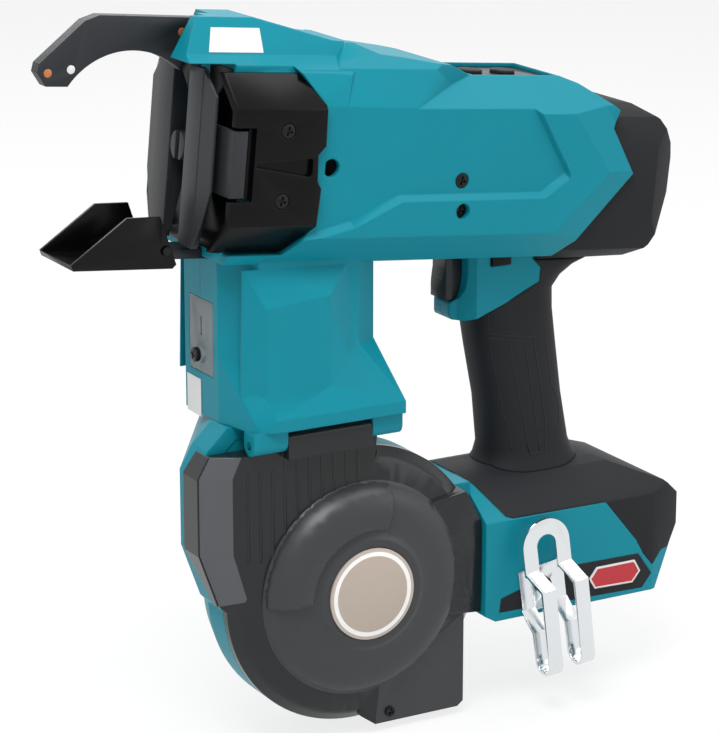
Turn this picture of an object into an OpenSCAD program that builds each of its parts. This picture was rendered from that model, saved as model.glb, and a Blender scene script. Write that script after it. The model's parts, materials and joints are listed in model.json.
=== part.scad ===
// Cordless rebar tying tool, standing on the foot of its wire magazine.
// X runs from the jaw (front, minus) to the battery foot (rear, plus), Y from the tool's left to its right,
// Z up. The origin is on the standing surface, below the reel axis, in the plane of the wire loop.
// The barrel group leans nose-up, so it is drawn in a frame of its own.

/* [Barrel] */
// Nose-up lean of the barrel
head_tilt = 5.5; // [0:0.5:10]
// Distance of the barrel's reference point behind the reel axis
head_x = 30; // [20:0.5:40]
// Height of the barrel's reference point above the standing surface
head_z = 281; // [270:0.5:300]
// Length of the barrel housing, from its front face to its rear point
barrel_len = 220; // [200:1:240]
// Height of the barrel behind the nose
barrel_h = 93; // [86:0.5:100]
// Width of the barrel
barrel_w = 86; // [80:0.5:92]
// Height of the drive axis above the barrel's reference point
drive_rise = 5; // [2:0.5:8]
// Depth of the sunk side panels of the barrel
panel_depth = 3; // [1:0.1:3.5]

/* [Jaw] */
// Radius of the loop that the wire is curled to
curl_r = 38; // [34:0.5:42]
// Distance of the loop's centre in front of the barrel's front face
curl_front = 39; // [35:0.5:46]
// Height of the loop's centre above the barrel's reference point
curl_rise = 11; // [8:0.5:14]
// Thickness of the curl guide's core
arm_core_t = 3; // [2:0.1:4]
// Thickness of each side plate of the curl guide
arm_plate_t = 2; // [1:0.1:3]
// Diameter of the curl guide's pins
arm_pin_d = 4; // [3:0.1:5]
// Outer width of the lower guide
scoop_w = 36; // [32:0.5:38]
// Sheet thickness of the lower guide
scoop_t = 1.5; // [1:0.1:2]
// Thickness of the moulded nose covers
nose_cover_t = 3; // [2:0.1:3.5]
// Width of each contact bar
contact_w = 14; // [10:0.5:16]
// Depth of the contact bars along the barrel
contact_d = 8.5; // [7:0.5:8.5]
// Travel of the contact plate when it is pressed
contact_travel = 3; // [1:0.1:3.5]

/* [Neck and magazine] */
// Height of the reel axis above the standing surface
reel_z = 77.3; // [74:0.1:82]
// Length of the neck from its front face to its rear face
neck_len = 79.5; // [73:0.5:85]
// Width of the neck across its flat sides
neck_w = 64; // [58:0.5:70]
// Outer radius of the magazine drum
drum_r = 69.5; // [66:0.5:72]
// Wall thickness of the housing
wall = 3; // [2:0.1:4]
// Distance of the magazine's open face to the left of the wire plane
tray_left = 26; // [24:0.5:28]
// Depth of the cover's flange
cover_rim_d = 11; // [9:0.5:13]
// Wall thickness of the smoked cover
cover_t = 2.4; // [1.8:0.1:3]
// Radius of the round dome on the cover
dome_r = 54; // [50:0.5:56]
// Rise of the dome above the cover's flange
dome_rise = 10; // [7:0.5:12]
// Diameter of the emblem disc
emblem_d = 46; // [40:0.5:50]
// Diameter of the cover's hinge pin
hinge_pin_d = 4; // [3:0.1:5]

/* [Wire reel] */
// Radius of the reel's flanges
reel_r = 51; // [46:0.5:52]
// Radius of the reel's hub
reel_hub_r = 24; // [20:0.5:28]
// Width of the reel over its flanges
reel_w = 36; // [34:0.5:38]
// Thickness of each reel flange
reel_flange_t = 2.2; // [1.6:0.1:3]
// Diameter of the wire, drawn a little over the bare wire's size
wire_d = 1.6; // [1.2:0.1:1.7]
// Loops in the outer layer of the winding
wire_loops = 14; // [8:1:14]

/* [Handle and foot] */
// Lean of the handle, its lower end to the rear
handle_lean = 9; // [6:0.5:12]
// Depth of the handle from front to rear
handle_d = 50; // [46:0.5:54]
// Width of the handle
handle_w = 37; // [34:0.5:40]
// Thickness of the rubber over the handle
grip_t = 3; // [2:0.1:4]
// Length of the battery foot
foot_len = 119; // [112:0.5:124]
// Width of the battery foot
foot_w = 84; // [80:0.5:90]
// Height of the battery foot
foot_h = 70; // [66:0.5:76]
// Height of the foot's underside above the standing surface
foot_z = 47.5; // [44:0.5:52]
// Diameter of the belt hook's screw
hook_screw_d = 4; // [3:0.5:5]
// Sheet thickness of the belt hook
hook_t = 1.5; // [1:0.1:2]

/* [Hidden] */

$fn = 64;
// Overrun of every cut
over = 1;
// Clearance between pieces that lie beside each other
gap = 0.3;
// Radial clearance of a running fit
fit = 0.05;

teal = "#1b8ca0";
rubber = "#333436";
black = "#161617";
steel = "#c9ccce";

// Shared helpers

function pts(shares, lx, ly) = [for (s = shares) [s[0] * lx, s[1] * ly]];
function both_sides(half) = concat(half, [for (i = [len(half) - 1:-1:0]) [-half[i][0], half[i][1]]]);
function arc(c, r, a0, a1, n) = [for (i = [0:n]) c + r * [cos(a0 + (a1 - a0) * i / n),
    sin(a0 + (a1 - a0) * i / n)]];
function unit(v) = v / norm(v);
function turn(v) = [-v[1], v[0]];
function mid_normal(p, i) =
    let (a = i > 0 ? unit(p[i] - p[i - 1]) : unit(p[1] - p[0]))
    let (b = i < len(p) - 1 ? unit(p[i + 1] - p[i]) : a)
    let (m = unit(turn(a + b)))
    m / (m * turn(a));
// Outline of a bent strip of thickness t, centred on a path
function ribbon(p, t) = concat([for (i = [0:len(p) - 1]) p[i] + mid_normal(p, i) * t / 2],
    [for (i = [len(p) - 1:-1:0]) p[i] - mid_normal(p, i) * t / 2]);

module in_head() {
    translate([head_x, 0, head_z]) rotate([0, head_tilt, 0]) children();
}
// A side outline (X, Z) drawn from y0 to y1
module slab(y0, y1) {
    translate([0, y1, 0]) rotate([90, 0, 0]) linear_extrude(y1 - y0) children();
}
// A cross-section (Y, Z) drawn from x0 to x1
module run(x0, x1) {
    translate([x0, 0, 0]) rotate([90, 0, 90]) linear_extrude(x1 - x0) children();
}
// A plan outline (X, Y) drawn from z0 to z1
module rise(z0, z1) {
    translate([0, 0, z0]) linear_extrude(z1 - z0) children();
}
module rod_y(x, z, d, y0, y1) {
    translate([x, y0, z]) rotate([-90, 0, 0]) cylinder(d = d, h = y1 - y0);
}
module rod_x(y, z, d, x0, x1) {
    translate([x0, y, z]) rotate([0, 90, 0]) cylinder(d = d, h = x1 - x0);
}
module both() {
    children();
    mirror([0, 1, 0]) children();
}
// A solid skin through rings of points, closed at both ends
module loft(rings) {
    n = len(rings[0]);
    last = (len(rings) - 1) * n;
    sides = [for (r = [0:len(rings) - 2], i = [0:n - 1], t = [0, 1])
        let (a = r * n + i, b = r * n + (i + 1) % n)
        t == 0 ? [a, b + n, b] : [a, a + n, b + n]];
    caps = [for (i = [1:n - 2], t = [0, 1]) t == 0 ? [0, i, i + 1] : [last, last + i + 1, last + i]];
    polyhedron([for (r = rings, p = r) p], concat(sides, caps));
}

// Barrel outlines, in the head frame

nose_share = -0.436;
section_top_share = 0.447;
section_bottom_share = -0.489;
hump_floor_share = 0.505;
nose_u = nose_share * barrel_len;
side_y = barrel_w / 2;
panel_y = side_y - panel_depth;
barrel_top = section_top_share * barrel_h;
barrel_bottom = section_bottom_share * barrel_h;
// Top line from the nose hump to the rear, shares of the barrel's length and height
barrel_top_shares = [[-0.541, 0.505], [-0.5, 0.712], [-0.364, 0.712], [-0.186, 0.613], [-0.14, 0.605],
    [-0.085, 0.557], [-0.025, 0.543], [0.093, 0.507], [0.16, 0.447], [0.39, 0.447], [0.43, 0.415],
    [0.509, 0.296]];
// Rear edge of the barrel, where the rear cover begins
rear_edge_shares = [[0.509, 0.296], [0.493, 0.201], [0.555, -0.038], [0.423, -0.382], [0.384, -0.489]];
rear_edge = pts(rear_edge_shares, barrel_len, barrel_h);
barrel_side = concat(pts(barrel_top_shares, barrel_len, barrel_h), rear_edge,
    [[nose_u, barrel_bottom], [nose_u, hump_floor_share * barrel_h]]);
// Cross-sections, shares of the barrel's width and height
barrel_section_shares = [[0.36, -0.489], [0.5, -0.34], [0.5, 0.285], [0.235, 0.447]];
shoulder_section_shares = [[0.465, -0.1], [0.465, 0.317], [0.384, 0.495], [0.23, 0.613]];
hump_section_shares = [[0.465, -0.1], [0.465, 0.317], [0.419, 0.47], [0.256, 0.54], [0.15, 0.712]];
shoulder_plan_shares = [[-0.436, 0.465], [-0.02, 0.465], [0.1, 0.3], [0.19, 0.2]];
hump_plan_shares = [[-0.6, 0.465], [-0.19, 0.465], [-0.11, 0.23]];
// Inside of the barrel
barrel_room_shares = [[0.33, -0.452], [0.43, -0.32], [0.43, 0.26], [0.22, 0.38]];

// Section of the rear cover, and the part of it that is hollow
rear_section_shares = [[0.2, -0.54], [0.36, -0.46], [0.43, -0.29], [0.43, 0.1], [0.36, 0.25], [0.2, 0.325]];
rear_plan_shares = [[0, 0.45], [0.62, 0.44], [0.7, 0.32]];
rear_room_share = 0.9;
rear_room_from_share = 0.36;

module barrel_prism(section_shares) {
    intersection() {
        slab(-barrel_w, barrel_w) polygon(barrel_side);
        run(-barrel_len, barrel_len) polygon(both_sides(pts(section_shares, barrel_w, barrel_h)));
    }
}
module plan_prism(plan_shares) {
    half = [for (s = plan_shares) [s[1] * barrel_w, s[0] * barrel_len]];
    rise(-barrel_h, barrel_h) rotate(-90) mirror([1, 0]) polygon(both_sides(half));
}
// Rear edge of the flat sides, from which the surface falls away to the rear cover
fall_shares = [[0.376, 0.288], [0.481, -0.024], [0.29, -0.489]];
fall_depth = 5;
fall_reach = 18;
module side_fall(a, b) {
    angle = atan2(b[1] - a[1], b[0] - a[0]);
    translate([a[0], -side_y, a[1]]) rotate([0, -angle, 0])
        run(-barrel_len, barrel_len)
            polygon([[-over, 0], [0, 0], [fall_depth, fall_reach], [fall_depth, barrel_len],
                [-over, barrel_len]]);
}
// Sunk panel on the side: a rear field and a front field that drops towards the nose
panel_rear_shares = [[-0.052, 0.4], [0.25, 0.4], [0.274, 0.285], [0.37, -0.023], [0.31, -0.124],
    [-0.052, -0.13]];
panel_front_shares = [[-0.3, 0.4], [-0.05, 0.4], [-0.05, -0.13], [-0.162, -0.258], [-0.3, -0.34]];
panel_edge = 1.5;
module sunk_field(shares) {
    p = pts(shares, barrel_len, barrel_h);
    hull() {
        slab(-panel_y - over, -panel_y) polygon(p);
        for (shift = [[panel_edge, 0], [panel_edge, -panel_edge * 2], [0, -panel_edge * 2]])
            translate([shift[0], -panel_depth, shift[1]]) slab(-panel_y - over, -panel_y) polygon(p);
    }
}
// The barrel's outer form, with the left side's sunk panel and falling rear edge
module barrel_form() {
    f = pts(fall_shares, barrel_len, barrel_h);
    difference() {
        union() {
            barrel_prism(barrel_section_shares);
            intersection() {
                barrel_prism(shoulder_section_shares);
                plan_prism(shoulder_plan_shares);
            }
            intersection() {
                barrel_prism(hump_section_shares);
                plan_prism(hump_plan_shares);
            }
        }
        intersection() {
            side_fall(f[0], f[1]);
            slab(-barrel_w, 0) polygon([f[1], f[1] + [barrel_len, 0], f[1] + [barrel_len, barrel_h],
                f[1] + [-barrel_len, barrel_h]]);
        }
        intersection() {
            side_fall(f[1], f[2]);
            slab(-barrel_w, 0) polygon([f[1], f[1] + [barrel_len, 0], f[1] + [barrel_len, -barrel_h],
                f[1] + [-barrel_len, -barrel_h]]);
        }
        sunk_field(panel_rear_shares);
        sunk_field(panel_front_shares);
    }
}
module barrel_room() {
    run(nose_u + wall, rear_room_from_share * barrel_len)
        polygon(both_sides(pts(barrel_room_shares, barrel_w, barrel_h)));
    run(0, barrel_len) polygon(rear_room_share * both_sides(pts(rear_section_shares, barrel_w, barrel_h)));
}

// Neck outlines, in the base frame

neck_x = -66;
neck_z = 165;
// Top of the neck, inside the barrel
neck_top_rise = 14.5;
neck_top_z = head_z + barrel_bottom + neck_top_rise;
bulge_out = 8;
ledge_z = neck_z + 6;
skirt_z = 198;
neck_plan_shares = [[0, 0.27], [0.18, 0.5], [0.85, 0.5], [1, 0.38]];
neck_room_shares = [[0.07, 0.24], [0.2, 0.453], [0.83, 0.453], [0.96, 0.35]];
bulge_foot_shares = [[0.05, 0.18], [0.8, 0.18], [0.76, 0.86], [0.07, 0.9]];
bulge_top_shares = [[0.17, 0.18], [0.6, 0.18], [0.6, 0.72], [0.17, 0.69]];
neck_h = neck_top_z - neck_z;
ledge_plan_shares = [[0, 0.27], [0.08, 0.63], [0.2, 0.72], [1.07, 0.72], [1.1, 0.6], [1.1, 0]];

function plan_both(half) = concat(half, [for (i = [len(half) - 1:-1:0]) [half[i][0], -half[i][1]]]);
module neck_prism(shares, z0, z1) {
    translate([neck_x, 0, 0]) rise(z0, z1) polygon(plan_both(pts(shares, neck_len, neck_w)));
}
module neck_form() {
    neck_prism(neck_plan_shares, neck_z, neck_top_z);
    translate([neck_x, 0, neck_z]) hull() {
        slab(-neck_w / 2, -neck_w / 2 + over) polygon(pts(bulge_foot_shares, neck_len, neck_h));
        slab(-neck_w / 2 - bulge_out, -neck_w / 2) polygon(pts(bulge_top_shares, neck_len, neck_h));
    }
}
// Flared skirt of the neck's left side, which ends in the ledge over the hinge
module skirt_form() {
    hull() {
        neck_prism(neck_plan_shares, skirt_z - over, skirt_z);
        translate([neck_x, 0, 0]) rise(neck_z, ledge_z)
            mirror([0, 1]) polygon(concat([[0, 0]], pts(ledge_plan_shares, neck_len, neck_w)));
    }
}

// Magazine outlines, in the base frame

tray_right = neck_w / 2;
mag_rear = 58;
mag_foot_front = 14;
mag_foot_rear = 49;
mag_foot_rise = 7;
mag_foot_right = 22;
// Rest under the drum, on the closed side only
rest_front = -8;
rest_left = -4;
rest_h = 34;
mag_rear_top = 117;
// The closed side narrows to the right: where it begins and where it bends, from the wire plane
bowl_left = 10;
bowl_mid = 5;
bowl_mid_share = 0.93;
bowl_back_share = 0.7;
// Length of the front box's right end, as a share of its open end
box_end_share = 0.67;
mag_rear_floor = 56;
// Front box of the magazine, shares of the drum's radius, from the reel axis
mag_front_shares = [[-1.2, 0.95], [-1.2, 0.41], [-1.06, 0.02], [-0.85, -0.2], [0, 0], [0.17, 1.262],
    [-0.95, 1.262], [-1.1, 1.12]];

module mag_foot() {
    polygon([[mag_foot_front, 0], [mag_foot_rear, 0], [mag_rear, mag_foot_rise], [mag_rear, mag_rear_top],
        [0, mag_rear_top], [0, mag_foot_rise + wall]]);
}
// Round bowl of the magazine, open to the left
module drum_bowl(inset, left) {
    r = drum_r - inset;
    translate([0, 0, reel_z]) rotate([-90, 0, 0]) rotate_extrude()
        polygon([[0, -left], [r, -left], [r, -bowl_left], [bowl_mid_share * drum_r - inset, bowl_mid],
            [bowl_back_share * drum_r - inset, tray_right - inset], [0, tray_right - inset]]);
}
// Front box beside the bowl, which draws back on its way to the right
module front_box(inset, left) {
    r = drum_r - inset;
    right = tray_right - inset;
    hull() for (end = [[-left, -bowl_left, r], [right - over, right, box_end_share * r]])
        slab(end[0], end[1])
            translate([inset / 2, reel_z - inset]) polygon(pts(mag_front_shares, end[2], r));
}
module tray_form() {
    drum_bowl(0, tray_left);
    front_box(0, tray_left);
    slab(-tray_left, mag_foot_right) {
        mag_foot();
        polygon([[0, mag_rear_floor], [foot_x, mag_rear_floor], [foot_x, mag_rear_top], [0, mag_rear_top]]);
    }
    translate([rest_front, rest_left, 0])
        cube([mag_foot_front + over - rest_front, mag_foot_right - rest_left, rest_h]);
}
// Round pad on the closed side, around the seat of the reel spindle
boss_rise = 2;
boss_d = 66;
module tray_room() {
    drum_bowl(wall, tray_left + over);
    front_box(wall, tray_left + over);
}

// Handle, guard and foot outlines, in the base frame

handle_x = 110.25;
grip_waist_share = 0.455;
core_d = 2 * grip_waist_share * handle_d - 2 * grip_t;
core_w = handle_w - 2 * grip_t;
handle_z = 151;
guard_y = 17;
guard_at = [72, 199];
// Trigger guard and handle root: lower line and front line, shares of the handle's depth and width
guard_low_shares = [[-0.21, 0.04], [-0.19, -0.04], [-0.14, -0.09], [0, -0.1], [0.1, -0.05], [0.41, 0.1],
    [0.8, 0.335], [0.82, 0.53], [0.73, 0.65], [0.73, 1.05]];
guard_front_shares = [[0.02, 1.15], [0.02, 0.5], [0, 0.32], [-0.04, 0.2], [-0.17, 0.14], [-0.2, 0.11]];
// Half plan of the guard, shares of the handle's depth and of its own half width
guard_plan_shares = [[-0.28, 0.235], [-0.18, 0.44], [-0.06, 0.53], [0.08, 1], [1.2, 1]];
function from_guard(shares) = [for (p = pts(shares, handle_d, handle_w)) p + guard_at];
guard_low = from_guard(guard_low_shares);
module guard_form() {
    intersection() {
        slab(-guard_y, guard_y) polygon(concat(guard_low, from_guard(guard_front_shares)));
        translate([guard_at[0], 0]) rise(0, head_z)
            polygon(plan_both(pts(guard_plan_shares, handle_d, guard_y)));
    }
}

module stadium(d, w) {
    for (side = [-1, 1]) translate([side * (d - w) / 2, 0]) circle(d = w);
    square([d - w, w], center = true);
}
module handle_core(d, w, z0, z1) {
    translate([handle_x, 0, handle_z]) rotate([0, -handle_lean, 0])
        translate([0, 0, z0 - handle_z]) linear_extrude(z1 - z0) stadium(d, w);
}

foot_x = 67.5;
cap_t = 3;
// Side of the foot, shares of its length and height, from its lower front corner
foot_side_shares = [[0, 0.05], [0, 1], [0.3, 1], [0.66, 0.98], [0.92, 0.8], [1, 0.68], [1, 0.44],
    [0.955, 0.31], [0.86, 0], [0.05, 0]];
foot_section_shares = [[0.5, 0], [0.5, 0.74], [0.26, 0.95], [0.12, 1]];
foot_plan_shares = [[0, 0.5], [0.84, 0.5], [1, 0.42]];
// Rubber cap, from the side and from above
cap_side_shares = [[-0.1, 1.1], [-0.1, 0.86], [0.134, 0.745], [0.592, 0.74], [0.752, 0.41], [0.792, 0.29],
    [0.841, 0.19], [0.899, 0.28], [1.1, 0.3], [1.1, 1.1]];
cap_plan_shares = [[-0.05, 0], [0.145, 0.6], [1.1, 0.6]];

module foot_form(inset) {
    l = foot_len - 2 * inset;
    w = foot_w - 2 * inset;
    h = foot_h - inset;
    translate([foot_x + inset, 0, foot_z]) intersection() {
        slab(-foot_w, foot_w) polygon(pts(foot_side_shares, l, h));
        run(-over, foot_len) polygon(both_sides(pts(foot_section_shares, w, h)));
        rise(-over, foot_h + over) polygon(plan_both(pts(foot_plan_shares, l, w)));
    }
}
module cap_zone() {
    translate([foot_x, 0, foot_z]) intersection() {
        slab(-foot_w, foot_w) polygon(pts(cap_side_shares, foot_len, foot_h));
        rise(-foot_h, 2 * foot_h) polygon(plan_both(pts(cap_plan_shares, foot_len, foot_w)));
    }
}

// Places that two or more pieces share

drive_d = 56;
hinge_y = 38;
hinge_z = 158.6;
knuckle_d = 10;
knuckle_from = -42.5;
knuckle_to = 2.5;
hinge_from = -61;
hinge_to = 19;
// Height of the electronics room above the foot's underside
room_rise = 18;
room_floor = foot_z + room_rise;
slot_h = 13;
slot_w = 62;
rail_h = 4;
rail_w = 4;
slot_front = 78;

// Nose covers, in the head frame: side outline and section as shares of the barrel's length, width and height
nose_cover_shares = [[-0.475, 0.5], [-0.306, 0.5], [-0.247, 0.33], [-0.244, 0.127], [-0.261, 0.083],
    [-0.258, -0.05], [-0.248, -0.087], [-0.253, -0.28], [-0.312, -0.43], [-0.475, -0.43]];
// Slanted front of the nose covers, seen from above
nose_slant_shares = [[-0.475, 0.29], [-0.44, 0.51]];
nose_section_shares = [[0.384, 0.47], [0.507, 0.31], [0.507, -0.27], [0.384, -0.42]];
tab_notch_shares = [[-0.56, 0.218], [-0.41, 0.218], [-0.41, -0.148], [-0.56, -0.148]];
vee_shares = [[-0.405, 0.042], [-0.405, 0.024], [-0.277, -0.026], [-0.272, -0.015], [-0.272, 0.055],
    [-0.277, 0.066]];
nose_screw_shares = [[-0.336, 0.202], [-0.339, -0.146]];
nose_cover = pts(nose_cover_shares, barrel_len, barrel_h);
nose_screws_at = pts(nose_screw_shares, barrel_len, barrel_h);
nose_section = pts(nose_section_shares, barrel_w, barrel_h);
nose_inner = [for (p = nose_section) p - [nose_cover_t, sign(p[1]) * nose_cover_t / 2]];
nose_inside = concat([[nose_inner[0][0], barrel_h]], nose_inner, [[nose_inner[3][0], -barrel_h]]);

module nose_openings() {
    slab(-barrel_w, -frame_half - gap) {
        polygon(pts(tab_notch_shares, barrel_len, barrel_h));
        polygon(pts(vee_shares, barrel_len, barrel_h));
    }
}
module nose_space(grow) {
    difference() {
        slab(-barrel_w, 0) polygon([for (p = nose_cover) p + [p[0] > nose_u ? grow : -barrel_len,
            sign(p[1]) * grow]]);
        run(-barrel_len, barrel_len) polygon(both_sides(nose_inside));
    }
}

// Upper curl guide, in the head frame
curl_at = [nose_u - curl_front, curl_rise];
// Corners of the arm around the loop's centre, shares of the loop's radius
arm_shares = [[-1.23, 0.72], [-1.11, 0.56], [-0.83, 0.56], [-0.5, 0.5], [0.5, 0.5], [0.64, 0.77],
    [0.7, 0.95], [1.6, 0.95], [1.6, 1.4], [-0.47, 1.415], [-0.655, 1.345], [-1.21, 0.83]];
arm_pin_shares = [[-1.095, 0.72], [0.625, 1.23], [-0.8, 0.765]];
arm_w = arm_core_t + 2 * arm_plate_t;
// Mouth of the nose hump around the arm, shares of the barrel's length and height
mouth_shares = [[-0.6, 0.5], [-0.48, 0.5], [-0.465, 0.8], [-0.6, 0.8]];
mouth_right_shares = [[-0.6, 0.5], [-0.44, 0.5], [-0.44, 0.8], [-0.6, 0.8]];
mouth_half = 9;
module arm_outline() {
    difference() {
        polygon([for (p = pts(arm_shares, curl_r, curl_r)) p + curl_at]);
        translate(curl_at) circle(curl_r);
    }
}

// Cavities and seats of the shells

panel_end_shares = [0.168, 0.385];
panel_ends = panel_end_shares * barrel_len;
panel_pocket = 3;
panel_half = 19;
window_z = [186, 222];
window_boss_d = 9;
window_boss_z = window_z[0] + window_boss_d;
window_open_z = window_boss_z + window_boss_d;
window_w = 24;
window_t = 2;
lock_at = [89.5, 225.5];
lock_size = [11, 6];
d_hole_at = [-48, 1];
d_hole_d = 8.5;
d_flat_share = 0.4;
barrel_screw_shares = [[0.107, -0.062], [0.108, -0.215]];
barrel_screws_at = pts(barrel_screw_shares, barrel_len, barrel_h);
screw_d = 4;
screw_head_d = 7;
screw_head_h = 2.5;
hook_at = [100, 63.5];
hook_hole_depth = 12;
frame_u = nose_u + wall;
frame_t = 4;
bracket_half = 9;
frame_half = 26;
bracket_drop = 1.5;
bracket_low = barrel_bottom - bracket_drop;
bracket_top = barrel_bottom + 2 * bracket_drop;
twist_d = 14;
wire_line_x = -55;
wire_hole_d = 5;

module control_pocket() {
    translate([panel_ends[0], -panel_half, barrel_top - panel_pocket])
        cube([panel_ends[1] - panel_ends[0], 2 * panel_half, panel_pocket + over]);
}
module slot_space() {
    translate([slot_front, -slot_w / 2, foot_z + rail_h]) cube([foot_len, slot_w, slot_h - rail_h]);
    translate([slot_front, -slot_w / 2 + rail_w, foot_z - over])
        cube([foot_len, slot_w - 2 * rail_w, rail_h + 2 * over]);
}
module lock_space(grow, y0, y1) {
    translate([lock_at[0] - lock_size[0] / 2 - grow, y0, lock_at[1] - lock_size[1] / 2 - grow])
        cube([lock_size[0] + 2 * grow, y1 - y0, lock_size[1] + 2 * grow]);
}
module window_space() {
    translate([neck_x - over, -window_w / 2 - gap, window_z[0] - gap])
        cube([window_t + over, window_w + 2 * gap, window_z[1] - window_z[0] + 2 * gap]);
    translate([neck_x - over, -window_w / 2 + wall, window_open_z])
        cube([neck_len / 2, window_w - 2 * wall, window_z[1] - window_open_z - wall]);
    rod_x(0, window_boss_z, screw_d + 2 * fit, neck_x, neck_x + neck_len / 2);
}
// Room for the trigger and its switch, shares of the handle's depth and width from the guard's corner
trigger_slot_shares = [[-0.3, 0.155], [0.28, 0.155], [0.28, 0.25], [0.62, 0.25], [0.62, 0.56], [0.3, 0.6],
    [0.3, 0.95], [-0.3, 0.95]];
trigger_w = 14;
module trigger_space() {
    slab(-trigger_w / 2 - gap, trigger_w / 2 + gap) polygon(from_guard(trigger_slot_shares));
}
module cavities() {
    in_head() {
        barrel_room();
        nose_space(gap);
        nose_openings();
        slab(-arm_w / 2 - gap, arm_w / 2 + gap) arm_outline();
        slab(-mouth_half, mouth_half) polygon(pts(mouth_shares, barrel_len, barrel_h));
        control_pocket();
        slab(-barrel_w, 0) intersection() {
            translate(d_hole_at) circle(d = d_hole_d);
            translate(d_hole_at - [d_flat_share * d_hole_d, d_hole_d / 2]) square([d_hole_d, d_hole_d]);
        }
        slab(-bracket_half - gap, bracket_half + gap)
            polygon([[-barrel_len, bracket_low - gap], [frame_u + frame_t + gap, bracket_low - gap],
                [frame_u + frame_t + gap, bracket_top + gap],
                [-barrel_len, bracket_top + gap]]);
        rod_x(0, drive_rise, twist_d + 2 * gap, -barrel_len, 0);
        for (p = nose_screws_at) rod_y(p[0], p[1], screw_d + 2 * fit, -barrel_w, 0);
        for (p = barrel_screws_at) {
            rod_y(p[0], p[1], screw_d + 2 * fit, -barrel_w, 0);
            rod_y(p[0], p[1], screw_head_d + 2 * gap, -barrel_w, -panel_y + wall / 2);
        }
    }
    neck_prism(neck_room_shares, neck_z + wall, neck_top_z);
    window_space();
    rise(mag_rear_top, neck_z + 2 * wall) translate([wire_line_x, 0]) circle(d = wire_hole_d);
    trigger_space();
    lock_space(gap, -guard_y - over, guard_y + over);
    handle_core(core_d - 2 * wall, core_w - 2 * wall, room_floor, guard_at[1]);
    intersection() {
        foot_form(cap_t + wall);
        translate([0, -foot_w, room_floor]) cube([2 * foot_len, 2 * foot_w, foot_h]);
    }
    slot_space();
}
// Ring ribs that carry the gear case and the motor
rib_shares = [-0.1, 0.03, 0.24];
module ribs() {
    in_head() for (s = rib_shares) difference() {
        run(s * barrel_len, s * barrel_len + wall)
            polygon(both_sides(pts(barrel_room_shares, barrel_w, barrel_h)));
        rod_x(0, drive_rise, drive_d + 2 * fit, -barrel_len, barrel_len);
    }
}
module outer_form() {
    in_head() barrel_form();
    neck_form();
    guard_form();
    handle_core(core_d, core_w, foot_z + foot_h / 2, head_z - barrel_h / 2);
    difference() {
        foot_form(0);
        cap_zone();
    }
    foot_form(cap_t);
}
module left_zone() {
    size = 4 * barrel_len;
    difference() {
        translate([-size / 2, -size / 2, 0]) cube([size, size / 2, size]);
        translate([-size / 2, -tray_left, -over]) cube([size / 2 + foot_x, size, neck_z + over]);
    }
}
module half_shell() {
    difference() {
        outer_form();
        cavities();
    }
    ribs();
}
module hinge_lugs() {
    for (span = [[hinge_from, knuckle_from - gap], [knuckle_to + gap, hinge_to]]) difference() {
        union() {
            rod_x(-hinge_y, hinge_z, knuckle_d, span[0], span[1]);
            translate([span[0], -hinge_y - knuckle_d / 2, hinge_z])
                cube([span[1] - span[0], knuckle_d, neck_z - hinge_z]);
        }
        rod_x(-hinge_y, hinge_z, hinge_pin_d + 2 * fit, -barrel_len, barrel_len);
    }
}

// Where the shells are parted: the handle hangs under the barrel and the foot under the handle, and the
// magazine under the neck
handle_front = 40;
handle_low = 180;
part_size = 4 * barrel_len;
module handle_zone() {
    intersection() {
        in_head() translate([-part_size / 2, -part_size / 2, barrel_bottom - part_size]) cube(part_size);
        union() {
            translate([foot_x, -part_size / 2, 0]) cube(part_size);
            translate([handle_front, -part_size / 2, handle_low]) cube(part_size);
        }
    }
}
module foot_zone() {
    translate([foot_x, -part_size / 2, foot_z + foot_h - part_size]) cube(part_size);
}
module magazine_zone() {
    translate([foot_x - part_size, -part_size / 2, neck_z - part_size]) cube(part_size);
}
module left_shell() {
    difference() {
        intersection() {
            union() {
                half_shell();
                difference() {
                    skirt_form();
                    neck_prism(neck_room_shares, neck_z + wall, neck_top_z);
                    window_space();
                }
            }
            left_zone();
        }
        badge_strips();
        rod_y(hook_at[0], hook_at[1], hook_screw_d, -foot_w, -foot_w / 2 + hook_hole_depth);
    }
}
module right_shell() {
    difference() {
        union() {
            mirror([0, 1, 0]) half_shell();
            difference() {
                union() {
                    tray_form();
                    rod_y(0, reel_z, boss_d, tray_right - over, tray_right + boss_rise);
                }
                rod_y(0, reel_z, 2 * reel_hub_r, tray_right, tray_right + 2 * boss_rise);
                tray_room();
                rise(mag_rear_top, neck_z + 2 * wall) translate([wire_line_x, 0]) circle(d = wire_hole_d);
            }
        }
        left_zone();
        badge_strips();
        in_head() slab(0, barrel_w) polygon(pts(mouth_right_shares, barrel_len, barrel_h));
        rod_y(hook_at[0], hook_at[1], hook_screw_d, foot_w / 2 - hook_hole_depth, foot_w);
    }
}

// Sub-parts

module left_housing() {
    color(teal) {
        difference() {
            left_shell();
            handle_zone();
        }
        hinge_lugs();
    }
}
module right_housing() {
    color(teal) difference() {
        right_shell();
        handle_zone();
        magazine_zone();
    }
}
module left_handle() {
    color(teal) difference() {
        intersection() {
            left_shell();
            handle_zone();
        }
        foot_zone();
    }
}
module right_handle() {
    color(teal) difference() {
        intersection() {
            right_shell();
            handle_zone();
        }
        foot_zone();
    }
}
module left_foot() {
    color(teal) intersection() {
        left_shell();
        foot_zone();
    }
}
module right_foot() {
    color(teal) intersection() {
        right_shell();
        foot_zone();
    }
}
module magazine_case() {
    color(teal) intersection() {
        right_shell();
        magazine_zone();
    }
}

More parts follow.
